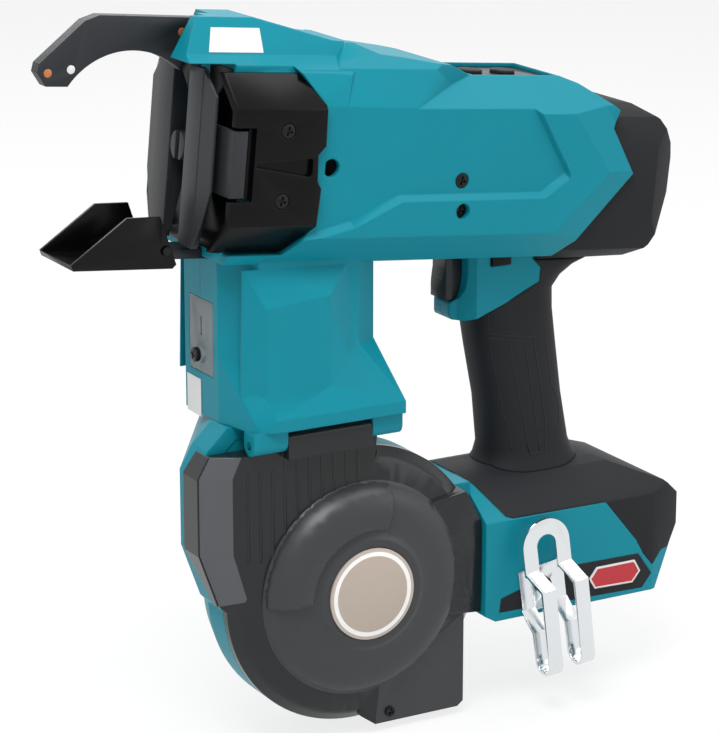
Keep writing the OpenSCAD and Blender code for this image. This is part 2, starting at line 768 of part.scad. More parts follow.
// Rear cover: its side, shares of the barrel's length and height
rear_side_shares = [[0.36, 0.325], [0.59, 0.305], [0.64, 0.24], [0.68, 0.11], [0.687, 0.03], [0.685, -0.16],
    [0.643, -0.44], [0.61, -0.52], [0.36, -0.54]];
rear_low = rear_section_shares[0][1] * barrel_h;
bearing_d = 22;
bearing_w = 7;
bearing_bore = 8;
rear_bearing_u = 92;
module front_side() {
    last = len(rear_edge) - 1;
    polygon(concat([[-barrel_len, barrel_h], rear_edge[0] + [0, barrel_h]], rear_edge,
        [[rear_edge[last][0], -barrel_h], [-barrel_len, -barrel_h]]));
}
boss_len = 48;
module rear_cover() {
    section = pts(rear_section_shares, barrel_w, barrel_h);
    side = pts(rear_side_shares, barrel_len, barrel_h);
    color(rubber) difference() {
        in_head() difference() {
            union() {
                difference() {
                    intersection() {
                        slab(-barrel_w, barrel_w) polygon(side);
                        run(0, barrel_len) polygon(both_sides(section));
                        plan_prism(rear_plan_shares);
                    }
                    intersection() {
                        slab(-barrel_w, barrel_w) polygon(rear_room_share * side);
                        run(0, barrel_len) polygon(both_sides(rear_room_share * section));
                    }
                    slab(-barrel_w, barrel_w) front_side();
                }
                rod_x(0, drive_rise, bearing_d + 2 * wall, rear_bearing_u, rear_bearing_u + boss_len);
            }
            rod_x(0, drive_rise, bearing_d + 2 * fit, 0, rear_bearing_u + bearing_w);
            rod_x(0, drive_rise, bearing_bore + 2 * wall, 0, rear_bearing_u + 2 * bearing_w);
        }
        handle_core(core_d + gap, core_w + gap, handle_z, head_z - barrel_h / 2 + gap);
    }
}

// Rubber grip: rings of points up the handle; height, centre, half depth and half width in shares
grip_shares = [[-0.56, 0.105, 0.7, 0.62], [-0.42, 0.085, 0.52, 0.54], [-0.34, 0.075, 0.48, 0.5],
    [0, 0, grip_waist_share, 0.5], [0.36, -0.09, 0.475, 0.49], [0.58, -0.14, 0.485, 0.48],
    [0.73, -0.185, 0.53, 0.47], [0.81, -0.155, 0.61, 0.47], [0.87, -0.085, 0.7, 0.47],
    [0.91, 0.015, 0.8, 0.47], [1.05, 0.015, 0.8, 0.47]];
grip_h = 75;
grip_round_share = 0.85;
function grip_ring(s) = [for (a = [0:11.25:359])
    let (c = cos(a), t = sin(a))
    [handle_x + s[1] * handle_d + s[2] * handle_d * sign(c) * pow(abs(c), grip_round_share),
        s[3] * handle_w * sign(t) * pow(abs(t), grip_round_share), handle_z + s[0] * grip_h]];
module handle_grip() {
    color(rubber) difference() {
        loft([for (s = grip_shares) grip_ring(s)]);
        handle_core(core_d, core_w, 0, head_z);
        slab(-foot_w, foot_w) polygon(concat([[0, guard_low[0][1]]], guard_low,
            [[guard_low[len(guard_low) - 1][0], head_z], [0, head_z]]));
        in_head() translate([-barrel_len, -barrel_w, 0]) {
            translate([0, 0, barrel_bottom - gap]) cube([2 * barrel_len, 2 * barrel_w, barrel_h]);
            translate([barrel_len + rear_edge[len(rear_edge) - 1][0] - gap, 0, rear_low - gap])
                cube([barrel_len, 2 * barrel_w, barrel_h]);
        }
        foot_form(0);
    }
}
module foot_cap() {
    color(rubber) difference() {
        intersection() {
            foot_form(0);
            cap_zone();
        }
        foot_form(cap_t);
        handle_core(core_d, core_w, 0, head_z);
        badge_strips();
    }
}
strip_shares = [[0.068, 0.06], [0.076, 0.165], [0.404, 0.31], [0.766, 0.3], [0.837, 0.13], [0.79, 0.03]];
strip_t = 1.5;
badge_t = 1;
hexagon_shares = [[0.513, 0.18], [0.551, 0.26], [0.744, 0.26], [0.774, 0.17], [0.735, 0.09], [0.541, 0.1]];
module badge_strips() {
    color(rubber) both() slab(-foot_w / 2, -foot_w / 2 + strip_t) difference() {
        translate([foot_x, foot_z]) polygon(pts(strip_shares, foot_len, foot_h));
        translate(hook_at) circle(d = hook_screw_d);
    }
}
module badge_plate() {
    color("#c02a36") translate([foot_x, 0, foot_z]) slab(-foot_w / 2 - badge_t, -foot_w / 2)
        polygon(pts(hexagon_shares, foot_len, foot_h));
}

// Battery seat in the foot
terminal_from = 84;
terminal_to = 112;
terminal_w = 34;
terminal_h = 8;
blade_reach = 12;
blade_t = 0.8;
blade_h = 6;
blade_pitch = 9;
slot_top = foot_z + slot_h;
module terminal_block() {
    color(black) translate([terminal_from, -terminal_w / 2, slot_top - terminal_h])
        cube([terminal_to - terminal_from, terminal_w, terminal_h]);
}
module terminal_blades() {
    color(steel) for (i = [-1:1])
        translate([terminal_to, i * blade_pitch - blade_t / 2, slot_top - (terminal_h + blade_h) / 2])
            cube([blade_reach, blade_t, blade_h]);
}
board_size = [60, 50, 2];
board_x = 84;
module circuit_board() {
    color("#2f6b3a") translate([board_x, -board_size[1] / 2, room_floor]) cube(board_size);
    color(black) translate([board_x + board_size[2], -board_size[1] / 4, room_floor + board_size[2]])
        cube([board_size[0] / 2, board_size[1] / 2, terminal_h]);
}

// Belt hook: one bent steel strip, hung a little forward of upright
hook_lean = 8;
hook_plate = [26, 20];
hook_leg_w = 8;
hook_leg_at = 9.5;
hook_out = 22;
hook_in = 9;
hook_drop = 41;
hook_loop_r = 6;
hook_rise = 11;
hook_frame_rise = 37;
hook_frame_out = 8;
hook_seat = -foot_w / 2 - hook_t / 2;
// Bent path of the legs in (Y, Z) from the plate, round the loop and up to the frame
hook_path = concat([[hook_seat, -hook_plate[1] / 2 - hook_t], [hook_seat - hook_in, -hook_drop / 2]],
    arc([hook_seat - hook_in - hook_loop_r, hook_loop_r - hook_drop], hook_loop_r, 0, -180, 10),
    [[hook_seat - hook_out, hook_rise / 2], [hook_seat - hook_frame_out, hook_rise]]);
module hook_frame() {
    outer = hook_leg_at + hook_leg_w / 2;
    inner = hook_leg_at - hook_leg_w / 2;
    top = hook_frame_rise - outer;
    difference() {
        union() {
            translate([0, top]) circle(outer);
            translate([-outer, hook_rise - hook_t]) square([2 * outer, top - hook_rise + hook_t]);
        }
        translate([0, top]) circle(inner);
        translate([-inner, hook_rise - 2 * hook_t]) square([2 * inner, top - hook_rise + 2 * hook_t]);
    }
}
module belt_hook() {
    color(steel) translate([hook_at[0], 0, hook_at[1]]) rotate([0, -hook_lean, 0]) difference() {
        union() {
            translate([-hook_plate[0] / 2, hook_seat - hook_t / 2, -hook_plate[1] / 2 - 2 * hook_t])
                cube([hook_plate[0], hook_t, hook_plate[1] + 2 * hook_t]);
            for (side = [-1, 1])
                run(side * hook_leg_at - hook_leg_w / 2, side * hook_leg_at + hook_leg_w / 2)
                    polygon(ribbon(hook_path, hook_t));
            slab(hook_seat - hook_frame_out - hook_t / 2, hook_seat - hook_frame_out + hook_t / 2)
                hook_frame();
        }
        rod_y(0, 0, hook_screw_d + 2 * fit, -foot_w, 0);
    }
}
module hook_screw() {
    color(steel) {
        rod_y(hook_at[0], hook_at[1], hook_screw_d - 2 * fit, -foot_w / 2 - hook_t,
            -foot_w / 2 + hook_hole_depth - over);
        rod_y(hook_at[0], hook_at[1], 2 * hook_screw_d, -foot_w / 2 - hook_t - screw_head_h,
            -foot_w / 2 - hook_t);
    }
}

// Nose covers
module nose_cover_left() {
    slant = pts(nose_slant_shares, barrel_len, barrel_w);
    color(black) in_head() difference() {
        intersection() {
            slab(-barrel_w, 0) polygon(nose_cover);
            run(-barrel_len, barrel_len) polygon(both_sides(nose_section));
        }
        run(-barrel_len, barrel_len) polygon(both_sides(nose_inside));
        nose_openings();
        rise(-barrel_h, barrel_h) polygon([[-barrel_len, -slant[0][1]], [slant[0][0], -slant[0][1]],
            [slant[1][0], -slant[1][1]], [-barrel_len, -slant[1][1]]]);
        for (p = nose_screws_at) {
            rod_y(p[0], p[1], screw_d + 2 * fit, -barrel_w, 0);
            rod_y(p[0], p[1], screw_head_d + 2 * gap, -barrel_w, -nose_section[1][0] + screw_head_h / 2);
        }
    }
}
module nose_cover_right() {
    mirror([0, 1, 0]) nose_cover_left();
}
screw_len = 12;
module screw(p, face) {
    rod_y(p[0], p[1], screw_d, face, face + screw_len);
    rod_y(p[0], p[1], screw_head_d, face - screw_head_h / 2, face);
}
module nose_screws() {
    color(steel) in_head() both() for (p = nose_screws_at) screw(p, -nose_section[1][0] + screw_head_h / 2);
}
module housing_screws() {
    color(steel) in_head() both() for (p = barrel_screws_at) screw(p, -panel_y + wall / 2);
}

// Jaw
frame_top_share = 0.31;
frame_top = frame_top_share * barrel_h;
frame_low = barrel_room_shares[0][1] * barrel_h;
// Places in front of the barrel's front face, and above its underside
pivot_front = 22.8;
pivot_rise = 4.5;
scoop_pivot = [nose_u - pivot_front, barrel_bottom + pivot_rise];
bracket_r = 4.5;
shelf_len = 18;
shelf_t = 4;
spindle_d = 12;
tube_d = 6;
tube_bore = 2.4;
tube_back = 12;
tube_u = frame_u + tube_back;
tube_low = -62;
tube_top = -34;
module nose_frame() {
    color("#3a3c3e") in_head() difference() {
        union() {
            translate([frame_u, -frame_half, frame_low])
                cube([frame_t, 2 * frame_half, frame_top - frame_low]);
            translate([frame_u, -bracket_half, frame_low]) cube([shelf_len, 2 * bracket_half, shelf_t]);
            slab(-bracket_half, bracket_half) {
                translate(scoop_pivot) circle(bracket_r);
                polygon([[scoop_pivot[0], bracket_low], [frame_u + frame_t, bracket_low],
                    [frame_u + frame_t, frame_low + shelf_t],
                    [frame_u, frame_low + shelf_t], [frame_u, bracket_top], [scoop_pivot[0], bracket_top]]);
            }
        }
        rod_x(0, drive_rise, spindle_d + 2 * fit, -barrel_len, 0);
        rod_y(scoop_pivot[0], scoop_pivot[1], arm_pin_d + 2 * fit, -barrel_w, barrel_w);
        translate([tube_u, 0, tube_low]) cylinder(d = tube_d + 2 * fit, h = barrel_h);
    }
}
contact_in = 8;
contact_reach = 12.2;
contact_margin = 3;
contact_front = nose_u - contact_reach;
contact_top = hump_floor_share * barrel_h - contact_margin;
contact_low = barrel_bottom + 2 * contact_margin;
// Bevelled rear corners of the contact bars, shares of their depth and height
contact_side_shares = [[0, 0], [0, 1], [0.25, 1], [1, 0.82], [1, 0.3], [0.4, 0]];
tab_out = 42.6;
tab_reach = 8;
tab_arm = 4.5;
tab_len = 10;
tab_from = nose_u - tab_reach;
tab_bend = tab_from + tab_arm;
tab_to = tab_from + tab_len;
tab_t = 1.6;
tab_low = tab_notch_shares[2][1] * barrel_h + tab_t;
tab_top = tab_notch_shares[0][1] * barrel_h - tab_t;
yoke_h = 5;
spring_d = 6;
spring_share = 0.62;
module contact_plate() {
    h = contact_top - contact_low;
    color(black) in_head() difference() {
        union() {
            both() {
                translate([contact_front, 0, contact_low]) slab(-contact_in - contact_w, -contact_in)
                    polygon(pts(contact_side_shares, contact_d, h));
                translate([tab_from, -tab_out, tab_low])
                    cube([tab_bend - tab_from, tab_out - contact_in - contact_w + over, tab_top - tab_low]);
                translate([tab_from, -tab_out, tab_low])
                    cube([tab_to - tab_from, tab_t, tab_top - tab_low]);
            }
            translate([contact_front + contact_d / 2, -contact_in - over, contact_low])
                cube([contact_d / 3, 2 * contact_in + 2 * over, yoke_h]);
        }
        both() rod_x(-contact_in - contact_w / 2, contact_low + spring_share * h, spring_d + 2 * gap,
            contact_front + contact_travel, contact_front + barrel_len / 2);
    }
}
module contact_springs() {
    h = contact_top - contact_low;
    color(steel) in_head() both() difference() {
        rod_x(-contact_in - contact_w / 2, contact_low + spring_share * h, spring_d,
            contact_front + 2 * contact_travel + gap, nose_u);
        rod_x(-contact_in - contact_w / 2, contact_low + spring_share * h, spring_d / 2, -barrel_len, 0);
    }
}
module arm_holes(d) {
    for (p = pts(arm_pin_shares, curl_r, curl_r)) translate(p + curl_at) circle(d = d);
}
module arm_layer(y0, y1) {
    in_head() slab(y0, y1) difference() {
        arm_outline();
        arm_holes(arm_pin_d + 2 * fit);
    }
}
module arm_plates() {
    color("#3d3f42") {
        arm_layer(-arm_w / 2, -arm_core_t / 2);
        arm_layer(arm_core_t / 2, arm_w / 2);
    }
}
module arm_core() {
    color("#55585b") arm_layer(-arm_core_t / 2, arm_core_t / 2);
}
pin_proud = 0.25;
module arm_pins() {
    color(steel) in_head() slab(-arm_w / 2 - pin_proud, arm_w / 2 + pin_proud) arm_holes(arm_pin_d);
}
// Lower guide: side wall corners, shares of the loop's radius from the pivot
scoop_wall_shares = [[0.15, -0.17], [-0.11, 0.42], [-0.55, 0.41], [-1.24, -0.15], [-1.21, -0.22],
    [0.1, -0.22]];
module lower_guide() {
    wall_side = [for (p = pts(scoop_wall_shares, curl_r, curl_r)) p + scoop_pivot];
    color(black) in_head() difference() {
        union() {
            both() slab(-scoop_w / 2, -scoop_w / 2 + scoop_t) difference() {
                polygon(wall_side);
                translate(scoop_pivot) circle(d = arm_pin_d + 2 * fit);
            }
            slab(-scoop_w / 2, scoop_w / 2) polygon([wall_side[3], wall_side[4],
                wall_side[5] - [curl_r / 4, 0],
                wall_side[5] - [curl_r / 4, -scoop_t], wall_side[4] + [0, scoop_t]]);
        }
    }
}
module lower_guide_pin() {
    color(steel) in_head() rod_y(scoop_pivot[0], scoop_pivot[1], arm_pin_d, -scoop_w / 2 - over,
        scoop_w / 2 + over);
}

// Control panel
button_d = 12;
button_h = 2;
button_shares = [0.215, 0.3];
button_travel = 0.6;
module control_panel() {
    color(black) in_head() difference() {
        translate([panel_ends[0] + gap, -panel_half + gap, barrel_top - panel_pocket])
            cube([panel_ends[1] - panel_ends[0] - 2 * gap, 2 * panel_half - 2 * gap, panel_pocket / 2]);
        for (s = button_shares) translate([s * barrel_len, 0, barrel_top - panel_pocket - over])
            cylinder(d = button_d + gap, h = panel_pocket + 2 * over);
    }
}
module panel_button(s) {
    color(rubber) in_head() translate([s * barrel_len, 0, barrel_top - panel_pocket + button_travel + gap])
        cylinder(d = button_d, h = button_h);
}
module mode_button() {
    panel_button(button_shares[0]);
}
module torque_button() {
    panel_button(button_shares[1]);
}

// Trigger group: shares of the handle's depth and width from the guard's corner
trigger_shares = [[-0.18, 0.9], [-0.15, 0.72], [-0.15, 0.58], [-0.18, 0.44], [-0.22, 0.3], [-0.21, 0.21],
    [-0.15, 0.17], [0.03, 0.175], [0.1, 0.28], [0.11, 0.4], [0.26, 0.4], [0.26, 0.52], [0.11, 0.52],
    [0.11, 0.9]];
trigger_nose_share = -0.22;
module trigger() {
    color(black) intersection() {
        slab(-trigger_w / 2, trigger_w / 2) polygon(from_guard(trigger_shares));
        translate([guard_at[0] + trigger_nose_share * handle_d + trigger_w / 2, 0]) rise(0, head_z) {
            circle(d = trigger_w);
            translate([0, -trigger_w / 2]) square([handle_d, trigger_w]);
        }
    }
}
switch_shares = [[0.41, 0.25], [0.62, 0.25], [0.62, 0.55], [0.41, 0.55]];
module trigger_switch() {
    color("#2a2a2c") slab(-trigger_w / 2, trigger_w / 2) polygon(from_guard(switch_shares));
}
lock_travel = 3;
module lock_button() {
    color(black) lock_space(0, -guard_y - lock_travel / 2, guard_y - lock_travel / 2);
}

// Reel cover
cover_face = tray_left + cover_rim_d;
cover_top = hinge_z - knuckle_d / 2 - gap;
cover_lift = 4.5;
latch_shares = [[0.56, -0.31], [0.957, -0.345], [0.957, 0.33], [0.83, 0.575], [0.56, 0.54]];
latch_out = 2;
// Dome profile: shares of its radius and its rise
dome_shares = [[0, 1], [0.5, 1], [0.56, 0.86], [0.8, 0.74], [0.93, 0.5], [1, 0]];
grip_sector_shares = [[0.57, 0.5], [0.6, 1.12], [0.75, 1.18], [0.89, 0.95], [0.98, 0.35], [0.98, -0.1],
    [0.57, -0.1]];
grip_from = 75;
grip_sweep = 105;
// The flange stands square for this depth and then slopes in to the face
rim_d = 4;
face_r_share = 0.9;
face_front_share = 0.83;
// Fine ribs below the hinge
rib_count = 10;
rib_t = 1.2;
rib_out = 0.4;
rib_from = -62;
rib_pitch = 6.6;
rib_low = 100;
emblem_sink = 1.2;
emblem_t = 2;
module dome(shrink) {
    r = dome_r - shrink;
    translate([0, -cover_face + shrink, reel_z]) rotate([90, 0, 0])
        rotate_extrude() polygon(concat([[0, -cover_t * 2]], pts(dome_shares, r, dome_rise),
            [[r, -cover_t * 2]]));
}
// Body of the cover over the bowl and the front box: its outside, or with an inset its inside
module cover_body(inset, back) {
    r = drum_r - inset;
    face = cover_face - inset;
    translate([0, 0, reel_z]) rotate([90, 0, 0]) rotate_extrude()
        polygon([[0, back], [r, back], [r, tray_left + rim_d], [face_r_share * drum_r - inset, face],
            [0, face]]);
    hull() for (end = [[-tray_left - rim_d, -back, r], [-face, -face + over, face_front_share * r]])
        slab(end[0], end[1]) translate([0, reel_z - inset]) polygon(pts(mag_front_shares, end[2], r));
}
module cover_zone(inset) {
    translate([-barrel_len, -barrel_w, cover_lift + inset])
        cube([barrel_len + foot_x - gap - inset, barrel_w, cover_top - cover_lift - 2 * inset]);
}
module reel_cover() {
    color("#3a3d40", 0.85) difference() {
        union() {
            intersection() {
                union() {
                    cover_body(0, tray_left + gap);
                    slab(-cover_face, -tray_left - gap) mag_foot();
                }
                cover_zone(0);
            }
            dome(0);
            translate([0, -cover_face, reel_z]) rotate([90, 0, 0]) rotate([0, 0, grip_from])
                rotate_extrude(angle = grip_sweep) polygon(pts(grip_sector_shares, dome_r, dome_rise));
            slab(-cover_face - latch_out, -tray_left - gap)
                translate([0, reel_z]) polygon(pts(latch_shares, drum_r, drum_r));
            for (i = [0:rib_count - 1])
                translate([rib_from + i * rib_pitch, -cover_face - rib_out, rib_low])
                    cube([rib_t, rib_out + over, cover_top - knuckle_d + over - rib_low]);
            rod_x(-hinge_y, hinge_z, knuckle_d, knuckle_from, knuckle_to);
            translate([knuckle_from, -hinge_y - knuckle_d / 2, cover_top - knuckle_d])
                cube([knuckle_to - knuckle_from, knuckle_d - cover_t, knuckle_d + hinge_z - cover_top]);
        }
        intersection() {
            cover_body(cover_t, tray_left - over);
            cover_zone(knuckle_d);
        }
        dome(cover_t);
        rod_x(-hinge_y, hinge_z, hinge_pin_d + 2 * fit, -barrel_len, barrel_len);
        rod_y(0, reel_z, emblem_d + 2 * gap, -barrel_w, -cover_face - dome_rise + emblem_sink);
    }
}
module hinge_pin() {
    color(steel) rod_x(-hinge_y, hinge_z, hinge_pin_d, hinge_from, hinge_to);
}
module emblem_disc() {
    color("#b9aca0") rod_y(0, reel_z, emblem_d, -cover_face - dome_rise + emblem_sink - emblem_t,
        -cover_face - dome_rise + emblem_sink);
}

// Wire reel
reel_left = 31;
spindle_reel_d = 16;
shoulder_d = 24;
spool_right = reel_w - reel_left;
module reel_spindle() {
    color("#4a4d50") {
        rod_y(0, reel_z, spindle_reel_d, -reel_left + over, tray_right - wall);
        rod_y(0, reel_z, shoulder_d, spool_right + gap, tray_right - wall);
    }
}
module wire_reel() {
    bore = spindle_reel_d / 2 + fit;
    color("#1d1d1f") translate([0, spool_right, reel_z]) rotate([90, 0, 0]) rotate_extrude()
        polygon([[bore, 0], [reel_r, 0], [reel_r, reel_flange_t], [reel_hub_r, reel_flange_t],
            [reel_hub_r, reel_w - reel_flange_t],
            [reel_r, reel_w - reel_flange_t], [reel_r, reel_w], [bore, reel_w]]);
}
core_r = 40;
wire_steps = 24;
wire_sides = 6;
wire_pitch = (reel_w - 2 * reel_flange_t - 2 * wire_d) / wire_loops;
wire_r = (core_r + gap) / cos(180 / wire_steps) + wire_d / 2;
wire_rings = wire_loops * wire_steps;
wire_start = spool_right - reel_flange_t - wire_d;
function wire_centre(i) = [wire_r * cos(360 * i / wire_steps), wire_start - wire_pitch * i / wire_steps,
    reel_z + wire_r * sin(360 * i / wire_steps)];
function wire_ring(i) =
    let (a = 360 * i / wire_steps, out = [cos(a), 0, sin(a)])
    [for (k = [0:wire_sides - 1]) let (b = 360 * k / wire_sides)
        wire_centre(i) + wire_d / 2 * (out * cos(b) + [0, sin(b), 0])];
wire_self_gap = min([for (i = [0:wire_steps]) norm(wire_centre(i + wire_steps) - wire_centre(i))]) - wire_d;
echo(wire_self_gap = wire_self_gap);
module wire_winding() {
    color("#8b8f92") {
        loft([for (i = [0:wire_rings]) wire_ring(i)]);
        translate([0, spool_right, reel_z]) rotate([90, 0, 0]) rotate_extrude()
            polygon([[reel_hub_r + fit, reel_flange_t + fit], [core_r, reel_flange_t + fit],
                [core_r, reel_w - reel_flange_t - fit],
                [reel_hub_r + fit, reel_w - reel_flange_t - fit]]);
    }
}

// Neck front and wire feed
slit_w = 2;
module wire_window() {
    color("#c8d4d8", 0.5) difference() {
        union() {
            translate([neck_x, -window_w / 2, window_z[0]])
                cube([window_t, window_w, window_z[1] - window_z[0]]);
            rod_x(0, window_boss_z, window_boss_d, neck_x - window_t, neck_x + window_t);
        }
        translate([neck_x - over, -slit_w / 2, window_open_z])
            cube([window_t + 2 * over, slit_w, window_z[1] - window_open_z - window_boss_d]);
        rod_x(0, window_boss_z, screw_d + 2 * fit, neck_x - over - window_t, neck_x + window_t + over);
    }
}
module window_screw() {
    color(black) {
        rod_x(0, window_boss_z, screw_d, neck_x - window_t, neck_x + window_t + wall);
        rod_x(0, window_boss_z, screw_head_d, neck_x - window_t - screw_head_h, neck_x - window_t);
    }
}
feed_r = 7.5;
feed_w = 8;
feed_x = wire_line_x - feed_w / 2;
feed_z = 204;
feed_y = feed_r + wire_d / 2 + fit;
feed_shaft_d = 5;
feed_motor_d = 30;
feed_motor_len = 38;
feed_plate_x = neck_x + neck_room_shares[1][0] * neck_len;
feed_plate_t = 4;
feed_plate_half = neck_room_shares[1][1] * neck_w;
feed_plate_h = 34;
module feed_motor() {
    color("#707478") difference() {
        union() {
            translate([feed_plate_x, -feed_plate_half, feed_z - feed_plate_h / 2])
                cube([feed_plate_t, 2 * feed_plate_half, feed_plate_h]);
            rod_x(feed_y, feed_z, feed_motor_d, feed_plate_x, feed_plate_x + feed_motor_len);
        }
        for (side = [-1, 1]) rod_x(side * feed_y, feed_z, feed_shaft_d + 2 * fit, feed_x,
            feed_plate_x + 2 * feed_plate_t);
    }
}
module feed_roller(y) {
    rod_x(y, feed_z, 2 * feed_r, feed_x, feed_x + feed_w);
    rod_x(y, feed_z, feed_shaft_d, feed_x, feed_plate_x + feed_plate_t);
}
module feed_wheel() {
    color(steel) feed_roller(feed_y);
}
module idler_wheel() {
    color(steel) feed_roller(-feed_y);
}
module guide_tube() {
    color(steel) in_head() translate([tube_u, 0, tube_low]) difference() {
        cylinder(d = tube_d, h = tube_top - tube_low);
        translate([0, 0, -over]) cylinder(d = tube_bore, h = tube_top - tube_low + 2 * over);
    }
}

// Drive
case_from = -34;
case_to = 28;
stator_from = 34;
stator_to = 74;
stator_bore = 31;
rotor_d = 30;
shaft_d = bearing_bore;
fan_from = 78;
fan_to = 86;
fan_d = 44;
ear_half = 33;
ear_from = 12;
module gear_case() {
    color("#8d9194") in_head() difference() {
        union() {
            rod_x(0, drive_rise, drive_d, case_from, case_to);
            translate([ear_from, -ear_half, barrel_screws_at[1][1] - screw_head_d])
                cube([case_to - ear_from, 2 * ear_half,
                    barrel_screws_at[0][1] - barrel_screws_at[1][1] + 2 * screw_head_d]);
        }
        rod_x(0, drive_rise, spindle_d + 2 * fit, case_from - over, case_from + spindle_d);
        rod_x(0, drive_rise, bearing_d + 2 * fit, case_to - bearing_w, case_to + over);
        rod_x(0, drive_rise, shaft_d + 2 * over, case_to - 2 * bearing_w, case_to);
        both() for (p = barrel_screws_at) rod_y(p[0], p[1], screw_d + 2 * fit, -ear_half - over, 0);
    }
}
module bearing(u) {
    color(steel) in_head() difference() {
        rod_x(0, drive_rise, bearing_d, u, u + bearing_w);
        rod_x(0, drive_rise, bearing_bore + 2 * fit, u - over, u + bearing_w + over);
    }
}
module front_bearing() {
    bearing(case_to - bearing_w);
}
module rear_bearing() {
    bearing(rear_bearing_u);
}
module motor_stator() {
    color("#a0662f") in_head() difference() {
        rod_x(0, drive_rise, drive_d, stator_from, stator_to);
        rod_x(0, drive_rise, stator_bore, stator_from - over, stator_to + over);
    }
}
module motor_rotor() {
    color("#7b7f83") in_head() {
        rod_x(0, drive_rise, shaft_d, case_to - bearing_w - over, rear_bearing_u + bearing_w);
        rod_x(0, drive_rise, rotor_d, stator_from + over, stator_to - over);
        rod_x(0, drive_rise, fan_d, fan_from, fan_to);
    }
}
hook_reach = 12;
hook_tip = nose_u - hook_reach;
twist_slot = 4;
twist_root = frame_u - gap;
module twist_spindle() {
    color(steel) in_head() rod_x(0, drive_rise, spindle_d, twist_root, case_from + spindle_d - over);
}
module twist_hook() {
    color("#5a5d60") in_head() difference() {
        rod_x(0, drive_rise, twist_d, hook_tip, twist_root);
        translate([hook_tip - over, -twist_slot / 2, drive_rise - twist_d])
            cube([twist_d * 2 / 3, twist_slot, 2 * twist_d]);
    }
}

left_housing();
right_housing();
left_handle();
right_handle();
left_foot();
right_foot();
magazine_case();
rear_cover();
handle_grip();
foot_cap();
badge_strips();
badge_plate();
terminal_block();
terminal_blades();
belt_hook();
hook_screw();
nose_cover_left();
nose_cover_right();
nose_screws();
housing_screws();
nose_frame();
contact_plate();
contact_springs();
arm_plates();
arm_core();
arm_pins();
lower_guide();
lower_guide_pin();
control_panel();
mode_button();
torque_button();
trigger();
trigger_switch();
lock_button();
reel_cover();
hinge_pin();
emblem_disc();
reel_spindle();
wire_reel();
wire_winding();
wire_window();
window_screw();
guide_tube();
motor_stator();
motor_rotor();
front_bearing();
rear_bearing();
gear_case();
twist_spindle();
twist_hook();
feed_motor();
feed_wheel();
idler_wheel();
circuit_board();
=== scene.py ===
# %% [markdown]
# This lesson dresses a cordless rebar tying tool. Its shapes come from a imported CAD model, which is
# loaded as a fixed frame. Blender adds what moulding, grinding and lacquer leave on the real tool:
# rounded edges, grain, cross slots in the screws, fine seams in the rubber and plain stickers.

# %% Load the frame
import json
import math

import bpy
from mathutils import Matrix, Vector

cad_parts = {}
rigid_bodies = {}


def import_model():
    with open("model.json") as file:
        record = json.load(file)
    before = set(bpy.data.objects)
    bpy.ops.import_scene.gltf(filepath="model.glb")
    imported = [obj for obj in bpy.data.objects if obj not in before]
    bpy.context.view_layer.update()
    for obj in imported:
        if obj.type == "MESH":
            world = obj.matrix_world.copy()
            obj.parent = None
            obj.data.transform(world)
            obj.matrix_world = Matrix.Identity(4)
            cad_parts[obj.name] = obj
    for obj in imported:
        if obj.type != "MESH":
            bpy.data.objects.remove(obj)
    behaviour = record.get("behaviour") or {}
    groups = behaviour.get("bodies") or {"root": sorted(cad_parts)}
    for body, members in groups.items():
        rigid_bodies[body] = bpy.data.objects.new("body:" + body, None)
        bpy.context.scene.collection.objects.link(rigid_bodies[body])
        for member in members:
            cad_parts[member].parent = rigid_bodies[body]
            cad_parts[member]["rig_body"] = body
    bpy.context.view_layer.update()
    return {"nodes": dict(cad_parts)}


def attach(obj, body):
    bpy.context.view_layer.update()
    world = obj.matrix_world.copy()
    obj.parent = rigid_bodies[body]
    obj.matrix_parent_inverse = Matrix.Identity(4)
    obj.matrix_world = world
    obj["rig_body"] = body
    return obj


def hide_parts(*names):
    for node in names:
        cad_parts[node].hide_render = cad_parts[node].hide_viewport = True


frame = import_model()
nodes = frame["nodes"]

# %% [markdown]
# The barrel leans nose-up by a few degrees, so places on it are easier to give along the barrel. An empty
# turned with the barrel could carry such pieces, but a finished piece has to sit unturned at the origin.
# So one function turns a place (along the barrel, across, up, in millimetres) into metres in the shared
# frame, and another does the same for a place given straight in the frame.

# %% Units and the barrel's own axes
MM = 0.001
BARREL_LEAN = math.radians(5.5)
# Where the barrel's axes start: x and z in the frame, in millimetres
BARREL_POINT = (30.0, 281.0)


def on_barrel(along, across, up):
    x = BARREL_POINT[0] + along * math.cos(BARREL_LEAN) + up * math.sin(BARREL_LEAN)
    z = BARREL_POINT[1] - along * math.sin(BARREL_LEAN) + up * math.cos(BARREL_LEAN)
    return Vector((x * MM, across * MM, z * MM))


def in_mm(x, y, z):
    return Vector((x, y, z)) * MM


print("the barrel's axes start at", on_barrel(0, 0, 0))

# %% [markdown]
# Colours are picked as sRGB hex values, as a designer would note them, and Blender's shaders want linear
# light. One function converts them, with the numbers of the sRGB standard. Shader nodes could be set up
# by hand in the shader editor; a helper that adds a node with its settings and its links keeps each
# material to a few lines.

# %% Colour and node helpers
TEAL = "#0a8293"


def colour(code, gain=1.0):
    parts = [int(code[i:i + 2], 16) / 255 for i in (1, 3, 5)]
    linear = [c / 12.92 if c <= 0.04045 else ((c + 0.055) / 1.055) ** 2.4 for c in parts]
    return (*[c * gain for c in linear], 1.0)


def add(tree, kind, links=None, **settings):
    node = tree.nodes.new(kind)
    for name, value in settings.items():
        if name in node.inputs:
            node.inputs[name].default_value = value
        else:
            setattr(node, name, value)
    for name, source in (links or {}).items():
        tree.links.new(source, node.inputs[name])
    return node


def new_material(name):
    material = bpy.data.materials.new(name)
    material.use_nodes = True
    tree = material.node_tree
    shader = tree.nodes["Principled BSDF"]
    return material, tree, shader


print("teal in linear light:", [round(c, 3) for c in colour(TEAL)])

